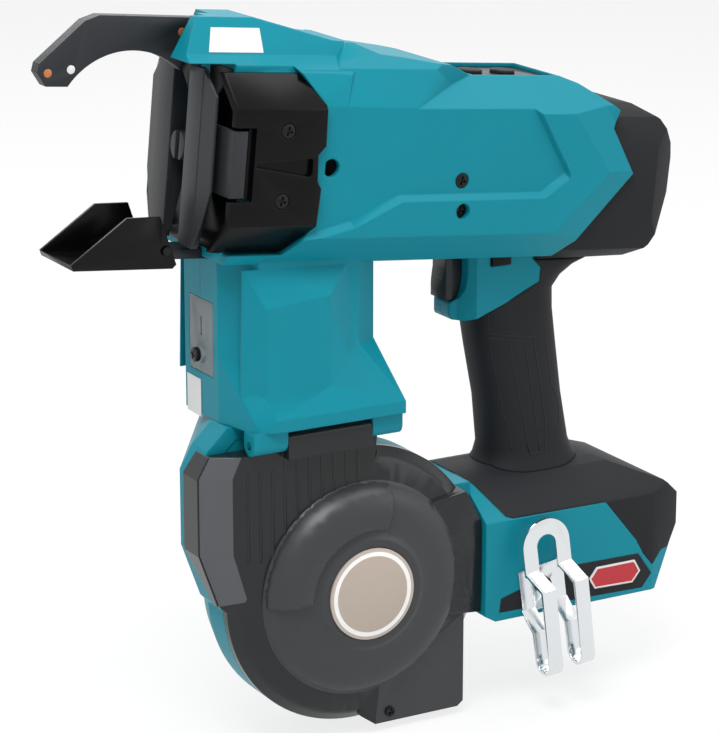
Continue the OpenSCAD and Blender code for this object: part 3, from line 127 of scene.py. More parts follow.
# %% [markdown]
# The housing is glass-filled nylon, moulded in a spark-eroded steel tool. The eye sees an even satin with
# a very fine grain, a little glossier where hands polish it. The grain could be cut into the mesh, but
# that takes millions of faces, so a fine noise drives a bump. Real grain of about a tenth of a millimetre
# would not show, so it is drawn at half a millimetre and more. A large soft noise varies the gloss and the
# shade, and a Bevel node rounds the edges in the shading. All the plastics and the rubber come from this
# one builder.

# %% Builder of moulded plastics
CLOUD_MM = 60
GLOSS_SPREAD = 0.05
SHADE_SPREAD = 0.06
PLASTIC_IOR = 1.48
EDGE_SAMPLES = 6


def moulded_plastic(name, code, rough, grain_mm, depth_mm, edge_mm=0.3, shine=0.5):
    material, tree, shader = new_material(name)
    place = add(tree, "ShaderNodeTexCoord").outputs["Object"]
    grain = add(tree, "ShaderNodeTexNoise", {"Vector": place},
                Scale=1 / (grain_mm * MM), Detail=2.0, Roughness=0.6)
    cloud = add(tree, "ShaderNodeTexNoise", {"Vector": place}, Scale=1 / (CLOUD_MM * MM), Detail=3.0)
    gloss = add(tree, "ShaderNodeMapRange", {"Value": cloud.outputs["Fac"]},
                **{"To Min": rough - GLOSS_SPREAD, "To Max": rough + GLOSS_SPREAD})
    tint = add(tree, "ShaderNodeMixRGB", {"Fac": cloud.outputs["Fac"]},
               Color1=colour(code, 1 - SHADE_SPREAD), Color2=colour(code, 1 + SHADE_SPREAD))
    edge = add(tree, "ShaderNodeBevel", Radius=edge_mm * MM, samples=EDGE_SAMPLES)
    bump = add(tree, "ShaderNodeBump", {"Height": grain.outputs["Fac"], "Normal": edge.outputs["Normal"]},
               Strength=1.0, Distance=depth_mm * MM)
    tree.links.new(tint.outputs["Color"], shader.inputs["Base Color"])
    tree.links.new(gloss.outputs["Result"], shader.inputs["Roughness"])
    tree.links.new(bump.outputs["Normal"], shader.inputs["Normal"])
    shader.inputs["IOR"].default_value = PLASTIC_IOR
    shader.inputs["Specular IOR Level"].default_value = shine
    return material


print("the shade varies over", CLOUD_MM, "mm")

# %% [markdown]
# The finishes differ in colour, gloss, grain and the roundness of their edges. Each could be a material
# of its own by hand, but beside each other in one cell they are easier to weigh against the photograph.

# %% Plastics and rubber
# Satin teal with a fine even grain: the eye reads a tough, dry moulding
teal_nylon = moulded_plastic("moulded_teal_nylon", TEAL, rough=0.42, grain_mm=0.7, depth_mm=0.02,
                             edge_mm=1.2, shine=0.16)
# Deep black with a soft sheen on its edges, as on the nose covers
black_nylon = moulded_plastic("moulded_black_nylon", "#060607", rough=0.22, grain_mm=0.9, depth_mm=0.012,
                              edge_mm=0.7, shine=0.16)
# The same black nylon, drier and painted a lighter charcoal: painted light on the contact plate and the
# trigger
painted_light_nylon = moulded_plastic("satin_charcoal_nylon", "#2a2c2f", rough=0.4, grain_mm=0.8, depth_mm=0.015,
                                 edge_mm=0.7, shine=0.3)
# Painted sheet: black and smooth, with a clear highlight along the folds
painted_sheet = moulded_plastic("painted_black_sheet", "#070708", rough=0.24, grain_mm=1.5, depth_mm=0.006,
                                shine=0.2)
# Dark grey and matt, with a dry sandy grain that swallows highlights
soft_rubber = moulded_plastic("overmoulded_rubber", "#222326", rough=0.6, grain_mm=0.5, depth_mm=0.05,
                              edge_mm=1.2, shine=0.17)
# Nearly black smoked plastic with a smooth face
smoked_plastic = moulded_plastic("smoked_polycarbonate", "#1d1f21", rough=0.2, grain_mm=0.55, depth_mm=0.012,
                                 edge_mm=0.8, shine=0.36)
# The dome of the cover is spark-eroded to a coarse pebble, which catches the light as a soft speckle
pebbled_plastic = moulded_plastic("pebbled_polycarbonate", "#303234", rough=0.36, grain_mm=0.9, depth_mm=0.06,
                                  edge_mm=0.8, shine=0.45)
# Paler smoked plastic: painted backlight on the cover's slanted front facet
painted_backlight_smoked = moulded_plastic("thin_smoked_polycarbonate", "#4b4e52", rough=0.16, grain_mm=0.55,
                              depth_mm=0.01, edge_mm=0.6, shine=0.5)
# Green lacquer over copper, inside the foot
board_lacquer = moulded_plastic("lacquered_board", "#1f5a33", rough=0.35, grain_mm=1.2, depth_mm=0.01)
print("plastics:", teal_nylon.name, black_nylon.name, soft_rubber.name, smoked_plastic.name)

# %% [markdown]
# The curl arm is hardened steel with a black oxide skin: dark, satin, with a faint directional grind. The
# belt hook and the small pins are zinc plated and bright. Grinding marks could come from an image; a
# noise stretched along one axis gives them without a file. The marks are drawn coarser than real ones, so
# that they show. One builder makes all the metals.

# %% Metals
STREAK_GLOSS = (0.75, 1.3)
STREAK_DEPTH = 0.01


def ground_metal(name, code, rough, metallic, streak_mm, stretch=(1.0, 1.0, 1.0)):
    material, tree, shader = new_material(name)
    place = add(tree, "ShaderNodeTexCoord").outputs["Object"]
    turn = add(tree, "ShaderNodeMapping", {"Vector": place}, Scale=stretch)
    streak = add(tree, "ShaderNodeTexNoise", {"Vector": turn.outputs["Vector"]},
                 Scale=1 / (streak_mm * MM), Detail=3.0)
    gloss = add(tree, "ShaderNodeMapRange", {"Value": streak.outputs["Fac"]},
                **{"To Min": rough * STREAK_GLOSS[0], "To Max": rough * STREAK_GLOSS[1]})
    bump = add(tree, "ShaderNodeBump", {"Height": streak.outputs["Fac"]},
               Strength=0.6, Distance=STREAK_DEPTH * MM)
    tree.links.new(gloss.outputs["Result"], shader.inputs["Roughness"])
    tree.links.new(bump.outputs["Normal"], shader.inputs["Normal"])
    shader.inputs["Base Color"].default_value = colour(code)
    shader.inputs["Metallic"].default_value = metallic
    return material


# Charcoal satin with a faint grind along the arm
oxide_steel = ground_metal("black_oxide_steel", "#2c2f33", rough=0.45, metallic=0.5, streak_mm=0.8,
                           stretch=(1.0, 1.0, 6.0))
# Bright plating that mirrors the white room
zinc_steel = ground_metal("bright_zinc_steel", "#dfe2e4", rough=0.16, metallic=1.0, streak_mm=0.6,
                          stretch=(6.0, 1.0, 1.0))
# Black screws with a metallic glint in the slots
screw_steel = ground_metal("blackened_screw_steel", "#1d1e20", rough=0.3, metallic=0.7, streak_mm=0.5)
# Soft dull wire, without plating
wire_steel = ground_metal("annealed_wire", "#85878a", rough=0.38, metallic=1.0, streak_mm=0.4)
# Grey castings inside the tool
cast_metal = ground_metal("die_cast_aluminium", "#b0b3b5", rough=0.5, metallic=1.0, streak_mm=1.2)
# Enamelled windings and plated blades
copper_metal = ground_metal("copper", "#b4703c", rough=0.35, metallic=1.0, streak_mm=0.6)
print("metals:", oxide_steel.name, zinc_steel.name, screw_steel.name)

# %% [markdown]
# The nodes are triangle meshes straight from the solids, with knife-sharp edges. No real moulding has
# those. A copy of a node is merged, its flat faces are joined again, and a bevel rounds its edges by the
# radius that the real part shows. Where many small facets meet, a bevel can tear. Such copies keep their
# shape and get even normals, and their material rounds the edges. The copy then stands for the node.

# %% Rounded copies of the nodes
MERGE_GAP = 0.002
FLAT_DEG = 0.6
BEVEL_SMOOTH_DEG = 32


def only(piece):
    bpy.ops.object.select_all(action="DESELECT")
    bpy.context.view_layer.objects.active = piece
    piece.select_set(True)


def merge_doubles(piece):
    only(piece)
    bpy.ops.object.mode_set(mode="EDIT")
    bpy.ops.mesh.select_all(action="SELECT")
    bpy.ops.mesh.remove_doubles(threshold=MERGE_GAP * MM)
    bpy.ops.object.mode_set(mode="OBJECT")


def soften(piece, radius_mm, steps, sharp_deg):
    merge_doubles(piece)
    bpy.ops.object.mode_set(mode="EDIT")
    bpy.ops.mesh.dissolve_limited(angle_limit=math.radians(FLAT_DEG))
    bpy.ops.object.mode_set(mode="OBJECT")
    bevel = piece.modifiers.new("edge", "BEVEL")
    bevel.width = radius_mm * MM
    bevel.segments = steps
    bevel.limit_method = "ANGLE"
    bevel.angle_limit = math.radians(sharp_deg)
    bevel.miter_outer = "MITER_ARC"
    bpy.ops.object.modifier_apply(modifier="edge")
    bpy.ops.object.shade_smooth_by_angle(angle=math.radians(BEVEL_SMOOTH_DEG))


def even_normals(piece, smooth_deg):
    only(piece)
    bpy.ops.object.shade_smooth_by_angle(angle=math.radians(smooth_deg))
    flat = piece.modifiers.new("flat", "WEIGHTED_NORMAL")
    flat.keep_sharp = True
    bpy.ops.object.modifier_apply(modifier="flat")


print("faces within", FLAT_DEG, "degrees count as one flat")

# %% [markdown]
# A dressed piece needs three things: a material, the body that it moves with, and the nodes that it stands
# for. They could be set for each piece by hand. Two functions do it all in one go, one with a bevel and one
# with even normals, and both can reshape the copy first.

# %% Dressing a copy
def copy_of(name):
    piece = bpy.data.objects.new(name + "_skin", nodes[name].data.copy())
    bpy.context.scene.collection.objects.link(piece)
    merge_doubles(piece)
    return piece


def finish_piece(piece, body, material):
    piece.data.materials.clear()
    piece.data.materials.append(material)
    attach(piece, body)


def dress(piece, names, material):
    finish_piece(piece, nodes[names[0]]["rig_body"], material)
    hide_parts(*names)


def rounded(name, radius_mm, material, steps=2, sharp_deg=28, reshape=None):
    piece = copy_of(name)
    if reshape:
        reshape(piece)
    soften(piece, radius_mm, steps, sharp_deg)
    dress(piece, [name], material)
    return piece


def smoothed(name, smooth_deg, material, reshape=None):
    piece = copy_of(name)
    if reshape:
        reshape(piece)
    even_normals(piece, smooth_deg)
    dress(piece, [name], material)
    return piece


print("dressing tools ready for", len(nodes), "nodes")

# %% [markdown]
# Each half of the housing is one moulding on the real tool and several nodes here: barrel and neck,
# handle, foot, and on the right the magazine. Side by side they would show a groove where they meet. A
# Boolean union welds copies of them into one skin, and the same function cuts one shape out of another.

# %% Welding and cutting
def combine(whole, tool, operation):
    join = whole.modifiers.new("join", "BOOLEAN")
    join.operation = operation
    join.solver = "MANIFOLD"
    join.object = tool
    only(whole)
    bpy.ops.object.modifier_apply(modifier="join")
    bpy.data.objects.remove(tool, do_unlink=True)


def welded_copy(names):
    whole = copy_of(names[0])
    for name in names[1:]:
        combine(whole, copy_of(name), "UNION")
    return whole


def face_outwards(piece):
    only(piece)
    bpy.ops.object.mode_set(mode="EDIT")
    bpy.ops.mesh.select_all(action="SELECT")
    bpy.ops.mesh.normals_make_consistent(inside=False)
    bpy.ops.object.mode_set(mode="OBJECT")


print("welding tools ready")

# %% [markdown]
# The hump over the nose has a flat side with a sticker on it, and behind that a shoulder slopes back. The
# solid has a wedge in front of the sticker. Its points could be moved, but they belong to large faces. A
# cutter with the hump's own outline takes the wedge away and leaves the faces round it as they are.

# %% Hump cutter
# Across and up, in millimetres: the side of the hump and its foot, then out into the open
HUMP_SIDE = ((-11.0, 69.63), (-22.04, 50.22), (-29.02, 47.05), (-34.0, 45.2), (-60.0, 45.2), (-60.0, 69.63))
HUMP_FRONT = -101.0
SHOULDER_START, SHOULDER_SLOPE = -85.3, 0.9


def hump_cutter(side):
    bpy.ops.mesh.primitive_cylinder_add(vertices=len(HUMP_SIDE), radius=MM, depth=MM)
    cutter = bpy.context.object
    # A cylinder's points come in pairs, one at each end
    for i, (across, up) in enumerate(HUMP_SIDE):
        shoulder = SHOULDER_START + SHOULDER_SLOPE * up
        cutter.data.vertices[2 * i].co = on_barrel(HUMP_FRONT, -side * across, up)
        cutter.data.vertices[2 * i + 1].co = on_barrel(shoulder, -side * across, up)
    face_outwards(cutter)
    return cutter


print("corners of the hump cutter:", len(HUMP_SIDE))

# %% [markdown]
# Under the trigger the housing ends in a small lip, which is shorter on the real tool than in the solid.
# Cutting it would leave a blunt end. Its points are drawn back in proportion instead, the tip most and
# the root not at all, so that the lip keeps its form.

# %% Lip under the trigger
# Along the tool, from the tip to the root
LIP_TIP, LIP_ROOT, LIP_NEW_TIP = 61.4, 69.0, 65.6
# From below to above, and the reach to each side
LIP_LOW, LIP_HIGH, LIP_SIDE = 194.0, 206.0, 9.1


def draw_back_lip(piece):
    share = (LIP_ROOT - LIP_NEW_TIP) / (LIP_ROOT - LIP_TIP)
    for vertex in piece.data.vertices:
        x, y, z = vertex.co / MM
        if LIP_TIP < x < LIP_ROOT and LIP_LOW < z < LIP_HIGH and abs(y) < LIP_SIDE:
            vertex.co.x = (LIP_ROOT - share * (LIP_ROOT - x)) * MM


print("the lip's tip goes back by", round(LIP_NEW_TIP - LIP_TIP, 1), "mm")

# %% [markdown]
# Now both halves are made: welded, cut at the hump and drawn back at the lip. Their broad facets meet at
# low angles, which a bevel would crowd with slivers. Even normals keep the facets flat, and the Bevel
# node in the teal nylon draws a soft line of light along the edges.

# %% Housing halves
HOUSING_SMOOTH_DEG = 8
LEFT_HALF = ("left_housing", "left_handle", "left_foot")
RIGHT_HALF = ("right_housing", "right_handle", "right_foot", "magazine_case")
for half, side, names in (("left_half", -1, LEFT_HALF), ("right_half", 1, RIGHT_HALF)):
    skin = welded_copy(names)
    skin.name = half
    combine(skin, hump_cutter(side), "DIFFERENCE")
    draw_back_lip(skin)
    even_normals(skin, HOUSING_SMOOTH_DEG)
    dress(skin, names, teal_nylon)
    print(half, "has", len(skin.data.polygons), "faces")

# %% [markdown]
# The rear cover, the foot's cap and the grip are one family: soft rubber over the hard shell, with
# generous radii so that a dropped tool lands on something round. The badge strips and the two buttons
# share the finish. A bevel of three steps rounds them. The grip is already made of curves, so it is only
# shaded evenly.

# %% Rubber pieces
GRIP_SMOOTH_DEG = 30
for soft, radius in (("rear_cover", 3.0), ("foot_cap", 1.6), ("badge_strips", 0.3), ("mode_button", 0.4),
                     ("torque_button", 0.4)):
    skin = rounded(soft, radius, soft_rubber, steps=3)
    print(soft, len(skin.data.polygons))
grip_skin = smoothed("handle_grip", GRIP_SMOOTH_DEG, soft_rubber)
print("handle_grip", len(grip_skin.data.polygons))

# %% [markdown]
# On the real tool the nose covers stand a few millimetres further forward than in the solids, and the
# contact plate's knuckles are thinner. The points could be dragged by hand with proportional editing.
# Here all the points within given limits slide along the barrel, before any edge is rounded, so both
# sides stay alike.

# %% Sliding points along the barrel
# Side walls of the nose covers: points in front of the first value and outside the second slide by the third
WALL_FRONT, WALL_ACROSS, WALL_SLIDE = -95.0, 38.0, -3.6
# Front faces of the nose covers: points in front of the first value and inside the second slide by the third
FACE_FRONT, FACE_ACROSS, FACE_SLIDE = -100.8, 34.0, -2.1
# Knuckles of the contact plate: points between the first two values and outside the third slide by the fourth
KNUCKLE_FRONT, KNUCKLE_REAR, KNUCKLE_ACROSS, KNUCKLE_SLIDE = -104.2, -103.8, 21.5, 2.7


def along_barrel(point):
    x = point.x / MM - BARREL_POINT[0]
    z = point.z / MM - BARREL_POINT[1]
    return x * math.cos(BARREL_LEAN) - z * math.sin(BARREL_LEAN)


def slide(piece, inside, distance):
    shift = on_barrel(distance, 0, 0) - on_barrel(0, 0, 0)
    for vertex in piece.data.vertices:
        if inside(along_barrel(vertex.co), abs(vertex.co.y) / MM):
            vertex.co += shift


def bring_nose_forward(piece):
    slide(piece, lambda along, across: along < WALL_FRONT and across > WALL_ACROSS, WALL_SLIDE)
    slide(piece, lambda along, across: along < FACE_FRONT and across < FACE_ACROSS, FACE_SLIDE)


def thin_the_knuckles(piece):
    slide(piece, lambda along, across: KNUCKLE_FRONT < along < KNUCKLE_REAR and across > KNUCKLE_ACROSS,
          KNUCKLE_SLIDE)


print("slides:", WALL_SLIDE, FACE_SLIDE, KNUCKLE_SLIDE, "mm")

# %% [markdown]
# Nose covers, contact plate, trigger and the small controls are black nylon with a semi-gloss face. One
# black for all would look like a single lump in the shadow of the nose, so contact plate and trigger get
# the drier nylon, painted a lighter charcoal as painted light. The trigger's curved finger face is only
# shaded evenly, because a bevel would crease it.

# %% Black mouldings
TRIGGER_SMOOTH_DEG = 40
for moulding, radius, reshape in (("nose_cover_left", 1.0, bring_nose_forward),
                                  ("nose_cover_right", 1.0, bring_nose_forward),
                                  ("lock_button", 0.6, None),
                                  ("control_panel", 0.4, None),
                                  ("terminal_block", 0.5, None)):
    skin = rounded(moulding, radius, black_nylon, steps=3, reshape=reshape)
    print(moulding, len(skin.data.polygons))
trigger_skin = smoothed("trigger", TRIGGER_SMOOTH_DEG, painted_light_nylon)
plate_skin = rounded("contact_plate", radius_mm=0.6, material=painted_light_nylon, steps=3,
                     reshape=thin_the_knuckles)
print("trigger", len(trigger_skin.data.polygons), "contact_plate", len(plate_skin.data.polygons))

# %% [markdown]
# The reel cover is one moulding of smoked polycarbonate, so dark that the reel behind it shows only as a
# shade. It has three looks: the dome and the foot block are pebbled, the slanted facet at the front is
# painted paler for the light behind it, and the rest is smooth. Three pieces would show seams, so one skin
# gets three materials, picked by the place and the slant of each face. Its hinge block is raised to the
# height that it has on the real tool.

# %% Reel cover
COVER_SMOOTH_DEG = 15
# Along and up: the reel's axis
REEL_AXIS = (0.0, 77.3)
# The dome: its reach from the axis, and the plane that its foot stands on
DOME_RADIUS, DOME_FOOT = 54.3, -37.03
# The foot block: where it starts along the tool, and its upper end
FOOT_FRONT, FOOT_TOP = 8.0, 36.0
# The hinge block: its span along the tool, the height of its upper edge, and by how much that is raised
HINGE_SPAN, HINGE_LOW, HINGE_RAISE = (-42.6, 2.6), 143.3, 6.8
# Points outside this plane, and as near as this to the upper edge, belong to it
HINGE_FACE, HINGE_REACH = -36.9, 0.2
# How far a face turns to the side and to the front, as parts of its normal, and where the facet with the
# painted backlight starts
SIDE_SLANT, FRONT_SLANT, PALE_LOW = -0.7, -0.35, 84.0
# Places in the cover's list of materials
PEBBLED, PALE = 1, 2


def raise_hinge_block(piece):
    for vertex in piece.data.vertices:
        x, y, z = vertex.co / MM
        if HINGE_SPAN[0] < x < HINGE_SPAN[1] and y < HINGE_FACE and abs(z - HINGE_LOW) < HINGE_REACH:
            vertex.co.z += HINGE_RAISE * MM


cover_skin = smoothed("reel_cover", COVER_SMOOTH_DEG, smoked_plastic, raise_hinge_block)
cover_skin.data.materials.append(pebbled_plastic)
cover_skin.data.materials.append(painted_backlight_smoked)
for face in cover_skin.data.polygons:
    x, y, z = face.center / MM
    on_dome = math.hypot(x - REEL_AXIS[0], z - REEL_AXIS[1]) < DOME_RADIUS and y < DOME_FOOT
    on_foot = x > FOOT_FRONT and z < FOOT_TOP and face.normal.y < SIDE_SLANT
    if on_dome or on_foot:
        face.material_index = PEBBLED
    elif face.normal.x < FRONT_SLANT and face.normal.y < SIDE_SLANT and z > PALE_LOW:
        face.material_index = PALE
print("reel_cover", len(cover_skin.data.polygons))

# %% [markdown]
# Several thin pieces are flat outlines with a thickness. A scaled cube has only four corners to a side. A
# filled circle with as many corners as the outline takes any flat shape: its corners go to their places,
# Solidify gives the wall, and a small bevel breaks the edges.

# %% Plates from flat outlines
PLATE_EDGE_SHARE = 0.3


def plate(name, corners, thick_mm, body, material):
    bpy.ops.object.select_all(action="DESELECT")
    bpy.ops.mesh.primitive_circle_add(vertices=len(corners), radius=MM, fill_type="NGON")
    piece = bpy.context.object
    piece.name = name
    for vertex, corner in zip(piece.data.vertices, corners):
        vertex.co = corner
    thick = piece.modifiers.new("thick", "SOLIDIFY")
    thick.thickness = thick_mm * MM
    thick.offset = 0.0
    bpy.ops.object.modifier_apply(modifier="thick")
    edge = piece.modifiers.new("edge", "BEVEL")
    edge.width = PLATE_EDGE_SHARE * thick_mm * MM
    edge.segments = 2
    bpy.ops.object.modifier_apply(modifier="edge")
    face_outwards(piece)
    finish_piece(piece, body, material)
    return piece


print("a plate's edge is broken by", PLATE_EDGE_SHARE, "of its thickness")

# %% [markdown]
# A wing on each side of the contact plate leads to its knuckle. Behind the contact plate, and behind the
# slots of the nose covers, the real nose is black, and its inside lies in shade. Its inside could be
# modelled, but it only shows as darkness, so thin black sheets close the view onto the teal housing:
# partly the nose's own black, partly painted shade. They stay clear of the contact plate when it is
# pressed in.

# %% Wings and dark sheets
WING_THICK, SHEET_THICK = 1.6, 0.2
# Along and across: the wing's inner and outer side
WING_INNER, WING_OUTER = (-107.2, 21.8), (-105.6, 33.0)
# The share of the way from the inner to the outer side, and up
WING_OUTLINE = ((0.0, 43.5), (1.0, 32.7), (1.0, -11.0), (0.5, -27.0), (0.0, -38.5))
# Along and up, on the side of the nose
BACKING = ((-92.8, -13.0), (-58.6, -13.0), (-58.6, 19.5), (-92.8, 19.5))
BACKING_ACROSS = 40.75
# Across and up, on the front of the nose
FRONT_SHEET = ((5.0, 44.5), (28.0, 44.5), (40.2, 27.0), (40.2, -23.4), (30.0, -37.4), (26.0, -41.0),
               (5.0, -41.0), (5.0, -31.0), (9.0, -31.0), (9.0, 35.0), (5.0, 35.0))
FRONT_SHEET_ALONG = -96.15


def wing_corner(side, share, up):
    along = WING_INNER[0] + share * (WING_OUTER[0] - WING_INNER[0])
    across = WING_INNER[1] + share * (WING_OUTER[1] - WING_INNER[1])
    return on_barrel(along, side * across, up)


for side, hand in ((-1, "left"), (1, "right")):
    wing = [wing_corner(side, share, up) for share, up in WING_OUTLINE]
    plate("contact_wing_" + hand, wing, WING_THICK, "contact", painted_light_nylon)
    front = [on_barrel(FRONT_SHEET_ALONG, side * across, up) for across, up in FRONT_SHEET]
    plate("nose_front_" + hand, front, SHEET_THICK, "frame", black_nylon)
    backing = [on_barrel(along, side * BACKING_ACROSS, up) for along, up in BACKING]
    # Behind the slots, a black sheet as painted shade of the nose's inside
    plate("nose_backing_" + hand, backing, SHEET_THICK, "frame", black_nylon)
    print("wing and two sheets on the", hand)

# %% [markdown]
# The reel cover laps round the front corner of the magazine. The lap could be extruded from the cover's
# edge, but the cover is a closed solid with many faces there. Three flat outlines along the corner's own
# facets, half a millimetre outside them, show the same and ride with the cover.

# %% Cover lap
LAP_THICK = 0.6
# Along, up and the inner reach across, at each bend of the corner from above to below
LAP = ((-78.0, 153.3, -17.0), (-83.9, 143.3, -15.0), (-83.9, 105.8, -15.0), (-74.2, 78.7, -26.0))
LAP_SIDE = -30.2
for number, (high, low) in enumerate(zip(LAP, LAP[1:])):
    facet = [in_mm(high[0], LAP_SIDE, high[1]), in_mm(high[0], high[2], high[1]),
             in_mm(low[0], low[2], low[1]), in_mm(low[0], LAP_SIDE, low[1])]
    plate("cover_lap_" + str(number), facet, LAP_THICK, "cover", smoked_plastic)
print("lap facets:", len(LAP) - 1)

# %% [markdown]
# Behind the neck a web closes the magazine above the drum, and a skirt closes the corner beside the
# hinge. On the real tool both belong to the housing's moulding. They could be welded to it, but thin
# sheets that just touch it make poor Booleans, so they are plates in the same plastic. The web's lower
# side follows the drum.

# %% Magazine web and neck skirt
# Across and up
WEB = ((-26.0, 158.6), (31.6, 158.6), (31.6, 124.0), (22.0, 130.0), (12.0, 136.0), (0.0, 141.0),
       (-26.0, 144.5))
WEB_ALONG, WEB_THICK = 7.6, 1.6
# Along and up
SKIRT = ((-71.5, 144.0), (-71.5, 148.9), (-61.7, 158.4), (-44.0, 158.4), (-44.0, 144.0))
SKIRT_ACROSS, SKIRT_THICK = -25.2, 1.2
web = [in_mm(WEB_ALONG, across, up) for across, up in WEB]
plate("magazine_web", web, WEB_THICK, "frame", teal_nylon)
skirt = [in_mm(along, SKIRT_ACROSS, up) for along, up in SKIRT]
plate("neck_skirt", skirt, SKIRT_THICK, "frame", teal_nylon)
print("web and skirt corners:", len(WEB), len(SKIRT))

# %% [markdown]
# Stamped steel has smaller radii than a moulding: a punched edge is only tumbled, and a ground edge only
# broken. The bevel of the mouldings does this too, with a smaller radius and fewer steps.

# %% Steel pieces
for steel_piece, radius, finish, slot in (("arm_plates", 0.35, oxide_steel, "dark_steel"),
                                          ("arm_core", 0.2, oxide_steel, "dark_steel"),
                                          ("lower_guide", 0.4, painted_sheet, "dark_steel"),
                                          ("nose_frame", 0.3, oxide_steel, "dark_steel"),
                                          ("twist_hook", 0.5, oxide_steel, "dark_steel"),
                                          ("belt_hook", 0.35, zinc_steel, "bright_steel")):
    skin = rounded(steel_piece, radius, finish)
    print(steel_piece, len(skin.data.polygons))

# %% [markdown]
# A punch strikes cross slots into the cold head of a screw. A dark cross in the material would do from
# afar, but a real slot catches the light. Two thin bars at right angles are cut out of each head, first
# one bar for all the heads of a set and then the other, so that a set takes only two cuts.

# %% Cross slots
SLOT_WIDTH, SLOT_DEPTH = 0.9, 1.1
BAR_TURNS = (math.radians(20), math.radians(110))


def strike_crosses(piece, places, span_mm, axis="Y"):
    for angle in BAR_TURNS:
        bpy.ops.object.select_all(action="DESELECT")
        bars = []
        for place in places:
            bpy.ops.mesh.primitive_cube_add(size=MM, location=place)
            bar = bpy.context.object
            if axis == "Y":
                bar.scale = (span_mm, 2 * SLOT_DEPTH, SLOT_WIDTH)
                bar.rotation_euler = (0, angle, 0)
            else:
                bar.scale = (2 * SLOT_DEPTH, span_mm, SLOT_WIDTH)
                bar.rotation_euler = (angle, 0, 0)
            bars.append(bar)
        for bar in bars:
            bar.select_set(True)
        bpy.ops.object.join()
        bpy.ops.object.transform_apply(location=True, rotation=True, scale=True)
        combine(piece, bpy.context.object, "DIFFERENCE")


print("slots", SLOT_WIDTH, "mm wide and", SLOT_DEPTH, "mm deep")

# %% [markdown]
# The nose and the housing have screws on both sides, and the window and the belt hook one each. The heads
# could be turned as new pieces; the nodes already have their shape and place, so their rounded copies are
# struck.

# %% Screws
SCREW_RADIUS, HOOK_SCREW_RADIUS = 0.4, 0.5
CROSS_SPAN, HOOK_CROSS_SPAN = 4.4, 5.0
# Along and up on the barrel, and how far out the heads' faces lie
NOSE_SCREWS, NOSE_HEAD_ACROSS = ((-73.9, 18.8), (-74.6, -13.6)), 43.6
BARREL_SCREWS, BARREL_HEAD_ACROSS = ((23.5, -5.8), (23.8, -20.0)), 39.75
WINDOW_HEAD = in_mm(-70.5, 0, 195)
HOOK_HEAD = in_mm(100, -46, 63.5)
nose_heads = [on_barrel(along, side * NOSE_HEAD_ACROSS, up)
              for along, up in NOSE_SCREWS for side in (-1, 1)]
barrel_heads = [on_barrel(along, side * BARREL_HEAD_ACROSS, up)
                for along, up in BARREL_SCREWS for side in (-1, 1)]
nose_screws = rounded("nose_screws", SCREW_RADIUS, screw_steel)
strike_crosses(nose_screws, nose_heads, CROSS_SPAN)
housing_screws = rounded("housing_screws", SCREW_RADIUS, screw_steel)
strike_crosses(housing_screws, barrel_heads, CROSS_SPAN)
window_screw = rounded("window_screw", SCREW_RADIUS, screw_steel)
strike_crosses(window_screw, [WINDOW_HEAD], CROSS_SPAN, axis="X")
hook_screw = rounded("hook_screw", HOOK_SCREW_RADIUS, screw_steel)
strike_crosses(hook_screw, [HOOK_HEAD], HOOK_CROSS_SPAN)
print("screw heads struck:", len(nose_heads) + len(barrel_heads) + 2)

# %% [markdown]
# A small screw holds the foot of the cover, and no node stands for it. A copy of another screw would need
# scaling, so it is a low drum of its own, sunk in the cover, with a cross struck into its face.

# %% Foot screw
FOOT_SCREW = (15.7, -37.0, 9.8)
FOOT_HEAD_RADIUS, FOOT_HEAD_DEPTH, FOOT_HEAD_SIDES = 2.6, 2.0, 32
FOOT_CROSS_SPAN = 3.6
FOOT_SMOOTH_DEG = 30
bpy.ops.mesh.primitive_cylinder_add(vertices=FOOT_HEAD_SIDES, radius=FOOT_HEAD_RADIUS * MM,
                                    depth=FOOT_HEAD_DEPTH * MM, location=in_mm(*FOOT_SCREW),
                                    rotation=(math.radians(90), 0, 0))
foot_screw = bpy.context.object
foot_screw.name = "foot_screw"
bpy.ops.object.transform_apply(location=True, rotation=True, scale=True)
foot_head = in_mm(FOOT_SCREW[0], FOOT_SCREW[1] - FOOT_HEAD_DEPTH / 2, FOOT_SCREW[2])
strike_crosses(foot_screw, [foot_head], FOOT_CROSS_SPAN)
bpy.ops.object.shade_smooth_by_angle(angle=math.radians(FOOT_SMOOTH_DEG))
finish_piece(foot_screw, "cover", screw_steel)
print("foot screw faces:", len(foot_screw.data.polygons))

# %% [markdown]
# Thin raised seams divide the rubber of the grip into fields. A bump could paint them, but they also show
# in the outline of a highlight. Each is drawn as a line from the side, divided finely, laid onto the grip
# by projection and given a thin round section that is half sunk in the rubber.

# %% Seams in the grip
SEAM_RADIUS, SEAM_START, SEAM_CUTS = 0.28, 40, 10
# Along and up, as seen from the side
GRIP_FIELDS = {
    "upper": [(110, 208.5), (84.9, 197.3), (85.5, 187.4), (108.8, 183.9), (116.4, 139.5), (116.8, 123)],
    "middle": [(84.9, 185), (103.6, 182.3), (113.5, 123), (107.5, 123), (94.9, 183)],
    "front": [(86.4, 181.9), (98.9, 124.5)],
    "rear": [(116.5, 183.5), (121.0, 156.4), (126.0, 147.7), (126.5, 135.6)],
}
# Darker than the grip: dust that a narrow ridge holds, and painted shade
seam_rubber = moulded_plastic("rubber_seam", "#151618", rough=0.6, grain_mm=0.5, depth_mm=0.03)


def seam_line(name, line, side):
    mesh = bpy.data.meshes.new(name)
    points = [in_mm(x, side * SEAM_START, z) for x, z in line]
    mesh.from_pydata(points, [(i, i + 1) for i in range(len(line) - 1)], [])
    seam = bpy.data.objects.new(name, mesh)
    bpy.context.scene.collection.objects.link(seam)
    only(seam)
    bpy.ops.object.mode_set(mode="EDIT")
    bpy.ops.mesh.select_all(action="SELECT")
    bpy.ops.mesh.subdivide(number_cuts=SEAM_CUTS)
    bpy.ops.object.mode_set(mode="OBJECT")
    return seam


